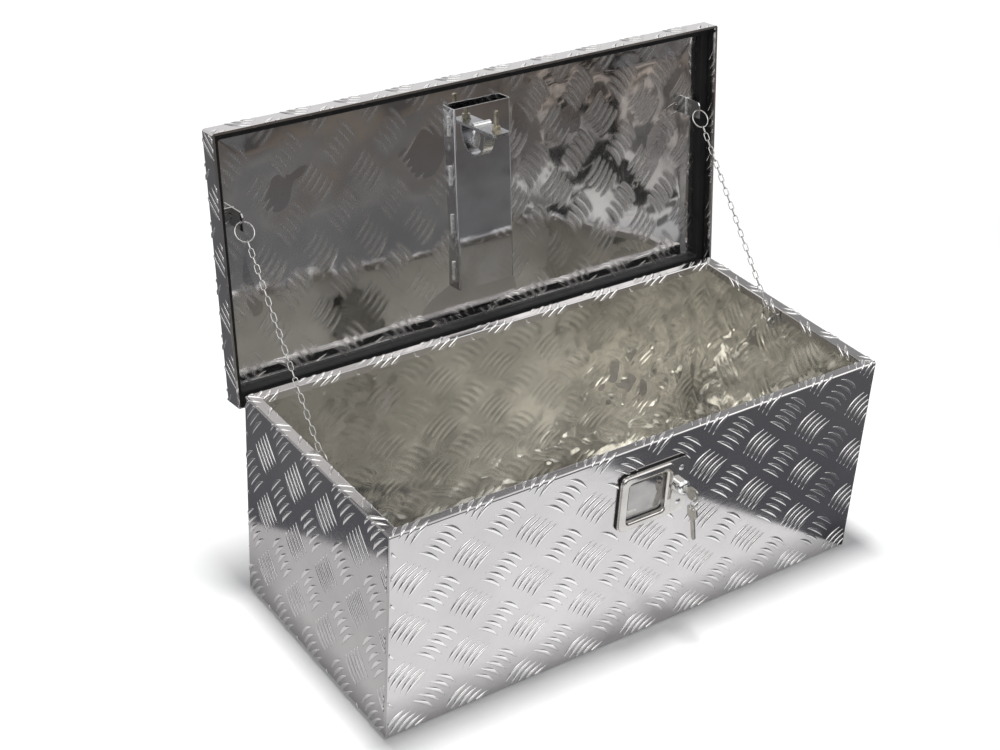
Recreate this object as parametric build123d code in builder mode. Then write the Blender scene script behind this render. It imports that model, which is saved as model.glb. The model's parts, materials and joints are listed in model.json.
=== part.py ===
from build123d import *
import math
import os

os.makedirs("parts", exist_ok=True)

# Aluminium tool box, in millimetres. X runs along its length, the latch faces -Y, +Z is up, and the
# origin is the middle of the underside. The lid stands open, held by its two chains.

# Body: one folded sheet
body_length = 762.0
body_width = 345.0
body_height = 303.0
sheet = 1.5
bend = 3.0
rim_side = 17.0
rim_front = 14.0
rim_lip = 11.0
rim_bend = 2.0
corner_share = 0.98
mouth_corner = 3.0

# Lid: a tray whose walls hang over the body's rim
lid_side_overhang = 7.5
lid_front_overhang = 8.0
lid_drop = 15.5
lid_opening_angle = 97.4
hem_height = 15.0
seal_gap = 0.4
seal_height = 11.6
seal_width = 13.5
seal_rounding = 3.0

# Piano hinge along the rear wall
hinge_end = 13.0
hinge_leaf = 1.2
hinge_pin_diameter = 2.5
running_clearance = 0.05
knuckle_count = 31
knuckle_gap = 0.4
knuckle_relief = 0.3
body_leaf_height = 22.0
lid_leaf_height = 14.8
hinge_rivet_count = 10
hinge_rivet_margin = 24.0

# Rivets
rivet_shank = 1.6
rivet_head = 3.2
rivet_dome = 1.2
rivet_tail = 2.6
rivet_tail_height = 0.9

# Channel welded inside the lid
channel_width = 88.5
channel_depth = 14.0
channel_wall = 1.5
channel_bend = 3.0
channel_x = 1.5
channel_front_setback = 41.0
channel_rear_setback = 67.5
channel_bead = 3.0
channel_bead_length = 26.0
channel_bead_count = 4
channel_bead_margin = 12.0

# Striker on the channel
striker_width = 27.0
striker_thickness = 4.0
striker_height = 49.0
striker_corner = 7.0
striker_x = -1.2
striker_setback = 68.7
brace_width = 15.0
brace_shift = -6.0
brace_thickness = 3.0
brace_length = 37.0
brace_stand = 29.0
striker_bolt_diameter = 6.0
striker_bolt_inset = 14.0
striker_bolt_fit = 0.2
bolt_free_length = 21.0
bolt_chamfer = 0.8
hex_flats = 10.0
bolt_head_height = 4.0
nut_height = 5.0
washer_diameter = 12.5
washer_thickness = 1.6
striker_weld_width = 12.0
striker_weld_length = 26.0
striker_weld_height = 3.0
striker_weld_rounding = 2.0
striker_weld_inset = 4.6
root_bead = 4.5

# Chains, their rings and tabs
tab_thickness = 2.0
tab_inset = 22.0
tab_width = 24.0
tab_height = 28.0
tab_corner = 8.0
tab_flange = 12.0
tab_hole = 2.2
tab_hole_inset = 5.0
tab_hole_rise = 11.0
lid_tab_reach = 238.0
tab_bead = 2.0
body_tab_drop = 1.0
body_tab_height = 20.0
body_tab_foot = 14.0
ring_diameter = 27.0
ring_wire = 1.8
chain_wire = 1.4
link_length = 13.2
link_width = 7.0
link_play = 0.1
link_turn = 30.0
chain_length_share = 1.12

# Latch on the front wall: gasket, stamped pan with a raised bezel, and a rear bracket
latch_x = -7.5
latch_drop = 76.5
gasket_thickness = 3.0
latch_sheet = 1.5
bezel_width = 82.0
bezel_height = 81.0
bezel_rise = 3.0
bezel_bar = 10.5
bezel_corner = 9.0
bezel_rounding = 2.8
plate_wing = 24.5
plate_margin = 1.0
pan_depth = 24.0
pan_wall = 1.2
pan_corner = 7.0
cutout_clearance = 0.6
latch_rivet_pitch = 52.0
latch_rivet_head = 4.2
latch_rivet_shank = 2.2
latch_rivet_dome = 1.6
bracket_width = 60.0
bracket_depth = 28.0
bracket_wall = 2.0
bracket_shift = 1.5
bracket_drop = 29.0
bracket_cheek_height = 45.5
bracket_lip = 8.0
stud_slot_clearance = 0.7

# Paddle and its pin
paddle_width = 53.0
paddle_recess = 5.5
paddle_thickness = 2.0
paddle_top_gap = 6.5
paddle_bottom_gap = 8.0
paddle_step_width = 13.0
paddle_step_height = 8.0
paddle_corner = 2.0
paddle_pin_diameter = 4.0
paddle_pin_setback = 6.1
paddle_pin_drop = 4.0
paddle_barrel = 4.0
paddle_tail_width = 10.0
paddle_tail_length = 24.0
paddle_tail_thickness = 3.0
paddle_tail_x = 21.5
tail_slot_drop = 15.0
tail_slot_clearance = 1.5
spring_window = 14.0
spring_wire = 0.9
spring_turns = 5
spring_play = 0.5

# Catch hook that holds the striker bolt
hook_thickness = 5.0
hook_boss = 8.0
hook_pivot_diameter = 6.0
hook_pivot_offset = 7.3
hook_pivot_drop = 38.0
hook_throat = 0.8
hook_beak = 8.0
hook_shank = 9.0
hook_overlap = 6.0
hook_lever_reach = 24.0
hook_lever_gap = 1.0
hook_lever_height = 7.0
hook_lever_thickness = 3.0
hook_sleeve_wall = 1.8
hook_end_play = 0.4
hook_spring_wire = 1.2
hook_spring_turns = 4

# Key lock beside the paddle
lock_x = 46.7
lock_head_radius = 10.0
lock_head_length = 12.0
lock_head_rounding = 5.5
lock_body_radius = 8.0
lock_body_length = 26.0
lock_nut_flats = 22.0
lock_nut_height = 5.0
plug_radius = 5.5
plug_rise = 0.8
plug_tail = 3.0
cam_length = 20.0
cam_width = 11.0
cam_thickness = 2.0
cam_screw_radius = 2.0
cam_screw_head = 3.6
cam_screw_height = 1.6

# Keys and their ring
key_thickness = 2.0
key_blade_width = 7.0
key_blade_length = 26.0
key_blade_tip = 2.5
key_shoulder = 3.0
key_bow_width = 18.0
key_bow_length = 19.0
key_bow_corner = 6.0
key_slot_offset = 2.8
key_slot_radius = 2.4
key_slot_inset = 4.6
key_slot_fit = 0.08
key_ring_diameter = 15.0
key_ring_wire = 1.2
key_ring_play = 0.15
key_shoulder_seat = 0.5
spare_key_lean_angle = 12.0

overrun = 2.0
quarter_turn_angle = 90.0

# Places that follow from the sizes above
body_front = -body_width / 2
body_rear = body_width / 2
knuckle_radius = hinge_pin_diameter / 2 + running_clearance + hinge_leaf
hinge_y = body_rear + knuckle_radius
hinge_z = body_height - lid_drop
lid_depth = lid_drop + seal_gap + seal_height + sheet
lid_length = body_length + 2 * lid_side_overhang
lid_front = body_front - lid_front_overhang
lid_rear = hinge_y + knuckle_radius + sheet
lid_width = lid_rear - lid_front
lid_middle = (lid_front + lid_rear) / 2
panel_z = hinge_z + lid_depth - sheet
hinge_length = body_length - 2 * hinge_end
tab_x = body_length / 2 - tab_inset
latch_z = body_height - latch_drop
seal_z = body_height + seal_gap
mouth_length = body_length - 2 * rim_side
mouth_width = body_width - 2 * rim_front

opened = Location((0, hinge_y, hinge_z), (-lid_opening_angle, 0, 0)) * Location((0, -hinge_y, -hinge_z))
pieces = {}


def on_lid(plane):
    """A plane given as on the closed box, carried to where the open lid holds it."""
    return Plane(opened * plane.location)


def spread(count, length):
    """The places of some points spaced evenly over a length about zero."""
    return [length * (i / (count - 1) - 1 / 2) for i in range(count)]


def rivet(grip, shank, head, dome):
    """A rivet on the Z axis: its domed head stands on z = 0 and its tail closes below the grip."""
    ball = (head**2 + dome**2) / (2 * dome)
    slope = math.asin(head / ball) / 2
    dome_middle = (ball * math.sin(slope), dome - ball + ball * math.cos(slope))
    foot = -grip - rivet_tail_height
    with BuildPart() as made:
        with BuildSketch(Plane.XZ):
            with BuildLine():
                Polyline(
                    (0, dome), (0, foot), (shank * rivet_tail / rivet_shank, foot),
                    (shank * rivet_tail / rivet_shank, -grip), (shank, -grip), (shank, 0), (head, 0),
                )
                ThreePointArc((head, 0), dome_middle, (0, dome))
            make_face()
        revolve(axis=Axis.Z)
    return made.part


def ring_part(diameter, wire):
    """A closed wire ring in the XY plane about the origin."""
    with BuildPart() as made:
        Torus((diameter - wire) / 2, wire / 2)
    return made.part


def corner_bead(plane, size, length):
    """A fillet weld: a quarter round in the plane's first quadrant, run along its normal."""
    with BuildPart() as made:
        with BuildSketch(plane):
            with BuildLine():
                Polyline((0, size), (0, 0), (size, 0))
                RadiusArc((size, 0), (0, size), -size)
            make_face()
        extrude(amount=length)
    return made.part


def coil(radius, wire, turns, pitch):
    """A wire coil up the Z axis, one unbroken tube on two arcs for each half turn."""
    steps = 2 * turns
    rise = pitch / 2
    slope = math.atan2(rise, math.pi * radius)
    ends = []
    for i in range(steps + 1):
        turn = math.pi * i
        place = (radius * math.cos(turn), radius * math.sin(turn), rise * i)
        run = (
            -math.sin(turn) * math.cos(slope), math.cos(turn) * math.cos(slope), math.sin(slope),
        )
        ends.append((Vector(*place), Vector(*run)))
    with BuildPart() as made:
        with BuildLine() as path:
            for (start, leave), (end, arrive) in zip(ends, ends[1:]):
                chord = end - start
                both = leave + arrive
                a = 2 * (1 - leave.dot(arrive))
                b = chord.dot(both)
                reach = (math.sqrt(b * b + a * chord.dot(chord)) - b) / a
                middle = (start + end + (leave - arrive) * reach) * 0.5
                TangentArc(start, middle, tangent=leave)
                TangentArc(middle, end, tangent=chord_tangent(middle, end, arrive))
        with BuildSketch(Plane(origin=path.line @ 0, z_dir=path.line % 0)):
            Circle(wire / 2)
        sweep(path=path.line)
    return made.part


def chord_tangent(start, end, arrive):
    """The direction in which an arc leaves start when it reaches end along arrive."""
    chord = (end - start).normalized()
    return chord * (2 * chord.dot(arrive)) - arrive


lid_up = Axis((0, 0, 0), on_lid(Plane.XY).z_dir)
lid_forward = Axis((0, 0, 0), on_lid(Plane.XZ).z_dir)

# Body shell: base, four walls, the rim folded inwards and its lip folded down
latch_front = body_front - gasket_thickness - latch_sheet
crest = latch_front - bezel_rise
pan_floor = crest + pan_depth
pan_width = bezel_width - 2 * bezel_bar
pan_height = bezel_height - 2 * bezel_bar
plate_left = latch_x - bezel_width / 2 - plate_margin
plate_right = latch_x + bezel_width / 2 + plate_wing
plate_width = plate_right - plate_left
plate_x = (plate_left + plate_right) / 2
plate_height = bezel_height + 2 * plate_margin
latch_rivet_places = [(lock_x, latch_z - latch_rivet_pitch / 2), (lock_x, latch_z + latch_rivet_pitch / 2)]
hinge_rivet_xs = spread(hinge_rivet_count, hinge_length - 2 * hinge_rivet_margin)
body_rivet_z = hinge_z - body_leaf_height + (rivet_head + knuckle_radius)
lid_rivet_z = hinge_z + lid_leaf_height - (rivet_head + knuckle_relief)

with BuildPart() as body_shell:
    with BuildSketch():
        RectangleRounded(body_length, body_width, bend)
    extrude(amount=body_height)
    fillet(body_shell.faces().sort_by(Axis.Z)[0].edges(), bend * corner_share)
    fillet(body_shell.faces().sort_by(Axis.Z)[-1].edges(), bend * corner_share)
    with BuildSketch(Plane.XY.offset(sheet)):
        RectangleRounded(body_length - 2 * sheet, body_width - 2 * sheet, bend - sheet)
    extrude(amount=body_height - 2 * sheet, mode=Mode.SUBTRACT)
    with BuildSketch(Plane.XY.offset(body_height - sheet)):
        RectangleRounded(mouth_length, mouth_width, mouth_corner)
    extrude(amount=sheet + overrun, mode=Mode.SUBTRACT)
    with BuildSketch(Plane.XY.offset(body_height - rim_lip)):
        RectangleRounded(mouth_length + 2 * sheet, mouth_width + 2 * sheet, mouth_corner + sheet)
        RectangleRounded(mouth_length, mouth_width, mouth_corner, mode=Mode.SUBTRACT)
    extrude(amount=rim_lip - sheet)
    fillet(body_shell.faces().sort_by(Axis.Z)[-1].inner_wires()[0].edges(), rim_bend)
    with BuildSketch(Plane.XZ.offset(-body_front)):
        with Locations((latch_x, latch_z)):
            RectangleRounded(
                pan_width + 2 * (pan_wall + cutout_clearance),
                pan_height + 2 * (pan_wall + cutout_clearance), pan_corner,
            )
        with Locations((lock_x, latch_z)):
            Circle(lock_body_radius)
        with Locations(*latch_rivet_places):
            Circle(latch_rivet_shank)
    extrude(amount=-sheet, mode=Mode.SUBTRACT)
    with BuildSketch(Plane.XZ.offset(-body_rear)):
        with Locations(*[(x, body_rivet_z) for x in hinge_rivet_xs]):
            Circle(rivet_shank)
    extrude(amount=sheet, mode=Mode.SUBTRACT)
pieces["body_shell"] = body_shell

# Lid shell: a tray with a flat hem folded inside its front and side walls
inner_lid_length = lid_length - 2 * sheet
inner_lid_width = lid_width - 2 * sheet
with BuildPart() as lid_shell:
    with BuildSketch(on_lid(Plane.XY.offset(hinge_z))):
        with Locations((0, lid_middle)):
            RectangleRounded(lid_length, lid_width, bend)
    extrude(amount=lid_depth)
    fillet(lid_shell.faces().sort_by(lid_up)[-1].edges(), bend * corner_share)
    with BuildSketch(on_lid(Plane.XY.offset(hinge_z))):
        with Locations((0, lid_middle)):
            RectangleRounded(inner_lid_length, inner_lid_width, bend - sheet)
    extrude(amount=lid_depth - sheet, mode=Mode.SUBTRACT)
    with BuildSketch(on_lid(Plane.XY.offset(hinge_z))):
        with Locations((0, lid_middle)):
            RectangleRounded(inner_lid_length, inner_lid_width, bend - sheet)
        with Locations((0, lid_middle + sheet)):
            Rectangle(inner_lid_length - 2 * sheet, inner_lid_width, mode=Mode.SUBTRACT)
    extrude(amount=hem_height)
    with BuildSketch(on_lid(Plane.XZ.offset(-lid_rear))):
        with Locations(*[(x, lid_rivet_z) for x in hinge_rivet_xs]):
            Circle(rivet_shank)
    extrude(amount=sheet, mode=Mode.SUBTRACT)
pieces["lid_shell"] = lid_shell

# Rubber seal: a frame on the panel's inside that lands on the body's rim
with BuildPart() as lid_seal:
    with BuildSketch(on_lid(Plane.XY.offset(seal_z))):
        with Locations((0, lid_middle)):
            RectangleRounded(inner_lid_length, inner_lid_width, bend - sheet)
            RectangleRounded(
                inner_lid_length - 2 * seal_width, inner_lid_width - 2 * seal_width,
                seal_rounding, mode=Mode.SUBTRACT,
            )
    extrude(amount=seal_height)
    fillet(lid_seal.faces().sort_by(lid_up)[0].inner_wires()[0].edges(), seal_rounding * corner_share)
pieces["lid_seal"] = lid_seal

# Channel: a folded section whose two legs are stitch welded to the panel
channel_front = lid_front + channel_front_setback
channel_length = lid_width - channel_front_setback - channel_rear_setback
channel_face = panel_z - channel_depth
with BuildPart() as lid_channel:
    with BuildSketch(on_lid(Plane.XZ.offset(-channel_front - channel_length))) as channel_section:
        with Locations((channel_x, panel_z - channel_depth / 2)):
            Rectangle(channel_width, channel_depth)
        fillet(channel_section.vertices().group_by(Axis.Y)[0], channel_bend)
        with Locations((channel_x, panel_z - (channel_depth - channel_wall) / 2)):
            Rectangle(channel_width - 2 * channel_wall, channel_depth - channel_wall, mode=Mode.SUBTRACT)
    extrude(amount=channel_length)
pieces["lid_channel"] = lid_channel

channel_bead_starts = spread(
    channel_bead_count, channel_length - channel_bead_length - 2 * channel_bead_margin
)
channel_beads = []
for side in (-1, 1):
    for start in channel_bead_starts:
        foot = Vector(
            channel_x + side * channel_width / 2,
            channel_front + (channel_length + channel_bead_length) / 2 + start,
            panel_z,
        )
        across = (0, 0, -1) if side > 0 else (-1, 0, 0)
        stand = Plane(origin=foot, x_dir=across, z_dir=(0, -1, 0))
        channel_beads.append(corner_bead(on_lid(stand), channel_bead, channel_bead_length))
with BuildPart() as channel_welds:
    add(channel_beads)
pieces["channel_welds"] = channel_welds

# Striker: an upright plate with a bolt, its curved brace and the welds at its root
striker_front = lid_front + striker_setback
striker_back = striker_front + striker_thickness
striker_end = channel_face - striker_height
bolt_z = striker_end + striker_bolt_inset
bolt_radius = striker_bolt_diameter / 2
bolt_tip = striker_front - washer_thickness - nut_height - bolt_free_length
with BuildPart() as striker_plate:
    with BuildSketch(on_lid(Plane.XZ.offset(-striker_back))) as striker_outline:
        with Locations((striker_x, channel_face - striker_height / 2)):
            Rectangle(striker_width, striker_height)
        fillet(striker_outline.vertices().group_by(Axis.Y)[0], striker_corner)
        with Locations((striker_x, bolt_z)):
            Circle(bolt_radius + striker_bolt_fit, mode=Mode.SUBTRACT)
    extrude(amount=striker_thickness)
pieces["striker_plate"] = striker_plate

with BuildPart() as striker_brace:
    with BuildSketch(on_lid(Plane.YZ.offset(striker_x + brace_shift - brace_width / 2))):
        with BuildLine():
            outer = EllipticalCenterArc(
                (striker_back, channel_face), brace_length, brace_stand,
                start_angle=-quarter_turn_angle, arc_size=quarter_turn_angle,
            )
            inner = EllipticalCenterArc(
                (striker_back, channel_face), brace_length - brace_thickness,
                brace_stand - brace_thickness,
                start_angle=-quarter_turn_angle, arc_size=quarter_turn_angle,
            )
            Line(outer @ 0, inner @ 0)
            Line(outer @ 1, inner @ 1)
        make_face()
    extrude(amount=brace_width)
pieces["striker_brace"] = striker_brace

striker_left = striker_x - striker_width / 2
root_corner = Plane(origin=(striker_left, striker_front, channel_face), x_dir=(0, -1, 0), z_dir=(1, 0, 0))
root_weld = corner_bead(on_lid(root_corner), root_bead, striker_width)
with BuildPart() as striker_weld:
    with BuildSketch(on_lid(Plane.XY.offset(channel_face))):
        with Locations((striker_left + striker_weld_inset, striker_back + striker_weld_length / 2)):
            Ellipse(striker_weld_width / 2, striker_weld_length / 2)
    extrude(amount=-striker_weld_height)
    fillet(striker_weld.faces().sort_by(lid_up)[0].edges(), striker_weld_rounding)
    add(root_weld)
pieces["striker_weld"] = striker_weld

with BuildPart() as striker_bolt:
    with BuildSketch(on_lid(Plane.XZ.offset(-striker_back))):
        with Locations((striker_x, bolt_z)):
            RegularPolygon(hex_flats / 2, 6, major_radius=False)
    extrude(amount=-bolt_head_height)
    with BuildSketch(on_lid(Plane.XZ.offset(-striker_back))):
        with Locations((striker_x, bolt_z)):
            Circle(bolt_radius)
    extrude(amount=striker_back - bolt_tip)
    chamfer(striker_bolt.faces().sort_by(lid_forward)[-1].edges(), bolt_chamfer)
pieces["striker_bolt"] = striker_bolt

with BuildPart() as striker_washer:
    with BuildSketch(on_lid(Plane.XZ.offset(-striker_front))):
        with Locations((striker_x, bolt_z)):
            Circle(washer_diameter / 2)
            Circle(bolt_radius + striker_bolt_fit, mode=Mode.SUBTRACT)
    extrude(amount=washer_thickness)
pieces["striker_washer"] = striker_washer

with BuildPart() as striker_nut:
    with BuildSketch(on_lid(Plane.XZ.offset(washer_thickness - striker_front))):
        with Locations((striker_x, bolt_z)):
            RegularPolygon(hex_flats / 2, 6, major_radius=False)
            Circle(bolt_radius, mode=Mode.SUBTRACT)
    extrude(amount=nut_height)
pieces["striker_nut"] = striker_nut

# Hinge: two leaves whose knuckles take turns along one pin
knuckle_pitch = hinge_length / knuckle_count
knuckle_xs = spread(knuckle_count, hinge_length - knuckle_pitch)


def knuckle_row(plane, first):
    """The openings in one leaf, at every second place, for the other leaf's knuckles."""
    with BuildSketch(plane) as row:
        with Locations(*[(x, 0) for x in knuckle_xs[first::2]]):
            Rectangle(knuckle_pitch + knuckle_gap, 2 * (knuckle_radius + knuckle_relief))
    return row.sketch


knuckle_plane = Plane(origin=(0, hinge_y, hinge_z), x_dir=(1, 0, 0), z_dir=(0, -1, 0))
body_row = knuckle_row(knuckle_plane, 1)
lid_row = knuckle_row(on_lid(knuckle_plane), 0)
with BuildPart() as hinge_leaf_body:
    with BuildSketch(Plane.YZ.offset(-hinge_length / 2)):
        with Locations((hinge_y, hinge_z)):
            Circle(knuckle_radius)
        with Locations((body_rear + hinge_leaf / 2, hinge_z - body_leaf_height / 2)):
            Rectangle(hinge_leaf, body_leaf_height)
        with Locations((hinge_y, hinge_z)):
            Circle(hinge_pin_diameter / 2, mode=Mode.SUBTRACT)
    extrude(amount=hinge_length)
    extrude(body_row, amount=knuckle_radius + overrun, both=True, mode=Mode.SUBTRACT)
    with BuildSketch(Plane.XZ.offset(-body_rear)):
        with Locations(*[(x, body_rivet_z) for x in hinge_rivet_xs]):
            Circle(rivet_shank)
    extrude(amount=-hinge_leaf, mode=Mode.SUBTRACT)
pieces["hinge_leaf_body"] = hinge_leaf_body

leaf_outside = hinge_y + knuckle_radius
with BuildPart() as hinge_leaf_lid:
    with BuildSketch(on_lid(Plane.YZ.offset(-hinge_length / 2))):
        with Locations((hinge_y, hinge_z)):
            Circle(knuckle_radius)
        with Locations((leaf_outside - hinge_leaf / 2, hinge_z + lid_leaf_height / 2)):
            Rectangle(hinge_leaf, lid_leaf_height)
        with Locations((hinge_y, hinge_z)):
            Circle(hinge_pin_diameter / 2 + running_clearance, mode=Mode.SUBTRACT)
    extrude(amount=hinge_length)
    extrude(lid_row, amount=knuckle_radius + overrun, both=True, mode=Mode.SUBTRACT)
    with BuildSketch(on_lid(Plane.XZ.offset(-leaf_outside))):
        with Locations(*[(x, lid_rivet_z) for x in hinge_rivet_xs]):
            Circle(rivet_shank)
    extrude(amount=hinge_leaf, mode=Mode.SUBTRACT)
pieces["hinge_leaf_lid"] = hinge_leaf_lid

with BuildPart() as hinge_pin:
    with BuildSketch(Plane.YZ.offset(-hinge_length / 2)):
        with Locations((hinge_y, hinge_z)):
            Circle(hinge_pin_diameter / 2)
    extrude(amount=hinge_length)
pieces["hinge_pin"] = hinge_pin

wall_rivet = rivet(hinge_leaf + sheet, rivet_shank, rivet_head, rivet_dome)
with BuildPart() as hinge_rivets_body:
    for x in hinge_rivet_xs:
        with Locations(Plane(origin=(x, body_rear + hinge_leaf, body_rivet_z), z_dir=(0, 1, 0))):
            add(wall_rivet)
pieces["hinge_rivets_body"] = hinge_rivets_body

with BuildPart() as hinge_rivets_lid:
    for x in hinge_rivet_xs:
        with Locations(on_lid(Plane(origin=(x, lid_rear, lid_rivet_z), z_dir=(0, 1, 0)))):
            add(wall_rivet)
pieces["hinge_rivets_lid"] = hinge_rivets_lid

# Chains: a tab on the lid, a ring, a row of links, a ring and a tab on the body, on each side
lid_tab_hole = Vector(tab_x, hinge_y - lid_tab_reach, panel_z - tab_height + tab_hole_inset)
lid_tab_front = lid_tab_hole.Y - tab_width + tab_hole_rise
chain_top = (opened * Location(lid_tab_hole)).position
ring_mean = ring_diameter - ring_wire
link_pitch = link_length - 2 * chain_wire - link_play
link_count = 2 * round(lid_tab_reach * chain_length_share / (2 * link_pitch))
first_link = ring_mean - (ring_wire + chain_wire) / 2 - link_play
chain_reach = first_link + link_count * link_pitch - (ring_wire - chain_wire) / 2 + ring_mean
anchor_z = body_height - rim_lip - body_tab_drop - body_tab_height / 2
anchor_y = chain_top.Y - math.sqrt(chain_reach**2 - (chain_top.Z - anchor_z) ** 2)
chain_line = Vector(0, anchor_y - chain_top.Y, anchor_z - chain_top.Z).normalized()

link_mean = (link_width - chain_wire) / 2
link_run = link_length - link_width
with BuildPart() as link:
    with BuildSketch(Plane.YZ.offset(-link_run / 2)):
        with Locations((-link_mean, 0), (link_mean, 0)):
            Circle(chain_wire / 2)
    extrude(amount=link_run)
    for side in (-1, 1):
        with BuildSketch(Plane.YZ.offset(side * link_run / 2)):
            with Locations((-side * link_mean, 0)):
                Circle(chain_wire / 2)
        revolve(axis=Axis((side * link_run / 2, 0, 0), (0, 0, 1)), revolution_arc=180)

side_names = {"left": -1, "right": 1}
chain_ring = ring_part(ring_diameter, ring_wire)
for name, side in side_names.items():
    top = Vector(side * chain_top.X, chain_top.Y, chain_top.Z)
    across = chain_line.cross(Vector(1, 0, 0))
    tab_inside = side * (tab_x - tab_thickness / 2)

    with BuildPart() as lid_chain_tab:
        with BuildSketch(on_lid(Plane.YZ.offset(tab_inside))) as leg:
            with Locations((lid_tab_front + tab_width / 2, panel_z - tab_height / 2)):
                Rectangle(tab_width, tab_height)
            fillet(leg.vertices().group_by(Axis.Y)[0].sort_by(Axis.X)[0], tab_corner)
            with Locations((lid_tab_hole.Y, lid_tab_hole.Z)):
                Circle(tab_hole, mode=Mode.SUBTRACT)
        extrude(amount=side * tab_thickness)
        with BuildSketch(on_lid(Plane.XY.offset(panel_z - tab_thickness))):
            with Locations((side * (tab_x + tab_flange / 2), lid_tab_front + tab_width / 2)):
                Rectangle(tab_flange, tab_width)
        extrude(amount=tab_thickness)
    pieces[f"lid_chain_tab_{name}"] = lid_chain_tab

    with BuildPart() as lid_ring:
        with Locations(
            Plane(origin=top + chain_line * (ring_mean / 2), x_dir=(1, 0, 0), z_dir=across)
        ):
            add(chain_ring)
    pieces[f"chain_ring_{name}"] = lid_ring

    with BuildPart() as chain:
        for i in range(link_count):
            middle = top + chain_line * (first_link + (link_length - chain_wire) / 2 + i * link_pitch)
            turn = math.radians(link_turn + (0 if i % 2 == 0 else 90))
            face = Vector(1, 0, 0) * math.cos(turn) + across * math.sin(turn)
            with Locations(Plane(origin=middle, x_dir=chain_line, z_dir=face)):
                add(link.part)
    pieces[f"chain_{name}"] = chain

    with BuildPart() as body_ring:
        with Locations(
            Plane(origin=top + chain_line * (chain_reach - ring_mean / 2), z_dir=(1, 0, 0))
        ):
            add(chain_ring)
    pieces[f"body_chain_ring_{name}"] = body_ring

    wall_x = side * (body_length / 2 - sheet)
    foot_x = wall_x - side * tab_thickness
    leg_end = side * tab_x
    with BuildPart() as body_chain_tab:
        with BuildSketch(Plane.XZ.offset(-anchor_y - tab_thickness / 2)):
            with Locations(((wall_x + leg_end) / 2, anchor_z)):
                Rectangle(abs(wall_x - leg_end), body_tab_height)
            with Locations((leg_end, anchor_z)):
                Circle(body_tab_height / 2)
                Circle(tab_hole, mode=Mode.SUBTRACT)
        extrude(amount=tab_thickness)
        with BuildSketch(Plane.YZ.offset(wall_x)):
            with Locations((anchor_y + body_tab_foot / 2, anchor_z)):
                Rectangle(body_tab_foot, body_tab_height)
        extrude(amount=-side * tab_thickness)
    pieces[f"body_chain_tab_{name}"] = body_chain_tab

tab_beads = []
for side in side_names.values():
    edge = Vector(side * (tab_x - tab_thickness / 2), lid_tab_front + tab_width, panel_z)
    across = (0, 0, -1) if side < 0 else (-1, 0, 0)
    stand = Plane(origin=edge, x_dir=across, z_dir=(0, -1, 0))
    tab_beads.append(corner_bead(on_lid(stand), tab_bead, tab_width))
with BuildPart() as lid_tab_welds:
    add(tab_beads)
pieces["lid_tab_welds"] = lid_tab_welds

# Latch gasket, and the stamped pan with its raised bezel and lock wing
with BuildPart() as latch_gasket:
    with BuildSketch(Plane.XZ.offset(-body_front)):
        with Locations((plate_x, latch_z)):
            RectangleRounded(plate_width, plate_height, bezel_corner)
        with Locations((latch_x, latch_z)):
            RectangleRounded(
                pan_width + 2 * (pan_wall + cutout_clearance),
                pan_height + 2 * (pan_wall + cutout_clearance), pan_corner, mode=Mode.SUBTRACT,
            )
        with Locations((lock_x, latch_z)):
            Circle(lock_body_radius, mode=Mode.SUBTRACT)
        with Locations(*latch_rivet_places):
            Circle(latch_rivet_shank, mode=Mode.SUBTRACT)
    extrude(amount=gasket_thickness)
pieces["latch_gasket"] = latch_gasket

tail_slot_height = tail_slot_drop + paddle_tail_thickness + 2 * tail_slot_clearance
pin_y = crest + paddle_recess + paddle_pin_setback
pin_z = latch_z + pan_height / 2 - paddle_top_gap - paddle_pin_drop
pin_radius = paddle_pin_diameter / 2
tail_slot_z = pin_z + paddle_tail_thickness / 2 + tail_slot_clearance - tail_slot_height / 2
tail_x = latch_x + paddle_tail_x
pivot_x = striker_x - hook_pivot_offset
pivot_z = bolt_z - hook_pivot_drop
pivot_radius = hook_pivot_diameter / 2
with BuildPart() as latch_pan:
    with BuildSketch(Plane.XZ.offset(-body_front + gasket_thickness)):
        with Locations((plate_x, latch_z)):
            RectangleRounded(plate_width, plate_height, bezel_corner)
    extrude(amount=latch_sheet)
    with BuildSketch(Plane.XZ.offset(-latch_front)):
        with Locations((latch_x, latch_z)):
            RectangleRounded(bezel_width, bezel_height, bezel_corner)
    extrude(amount=bezel_rise)
    fillet(latch_pan.faces().sort_by(Axis.Y)[0].edges(), bezel_rounding)
    with BuildSketch(Plane.XZ.offset(-pan_floor - pan_wall)):
        with Locations((latch_x, latch_z)):
            RectangleRounded(pan_width + 2 * pan_wall, pan_height + 2 * pan_wall, pan_corner)
    extrude(amount=pan_floor + pan_wall - latch_front)
    with BuildSketch(Plane.XZ.offset(-pan_floor)):
        with Locations((latch_x, latch_z)):
            RectangleRounded(pan_width, pan_height, pan_corner - pan_wall)
    extrude(amount=pan_depth, mode=Mode.SUBTRACT)
    fillet(latch_pan.faces().sort_by(Axis.Y)[0].inner_wires()[0].edges(), bezel_rounding)
    with BuildSketch(Plane.XZ.offset(-pan_floor)):
        with Locations((tail_x, tail_slot_z)):
            Rectangle(paddle_tail_width + 2 * tail_slot_clearance, tail_slot_height)
        with Locations((pivot_x, pivot_z)):
            Circle(pivot_radius)
    extrude(amount=-pan_wall, mode=Mode.SUBTRACT)
    with BuildSketch(Plane.YZ.offset(latch_x - pan_width / 2 - pan_wall)):
        with Locations((pin_y, pin_z)):
            Circle(pin_radius)
    extrude(amount=pan_width + 2 * pan_wall, mode=Mode.SUBTRACT)
    with BuildSketch(Plane.XZ.offset(-latch_front)):
        with Locations((lock_x, latch_z)):
            Circle(lock_body_radius)
        with Locations(*latch_rivet_places):
            Circle(latch_rivet_shank)
    extrude(amount=-latch_sheet, mode=Mode.SUBTRACT)
pieces["latch_pan"] = latch_pan

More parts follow.
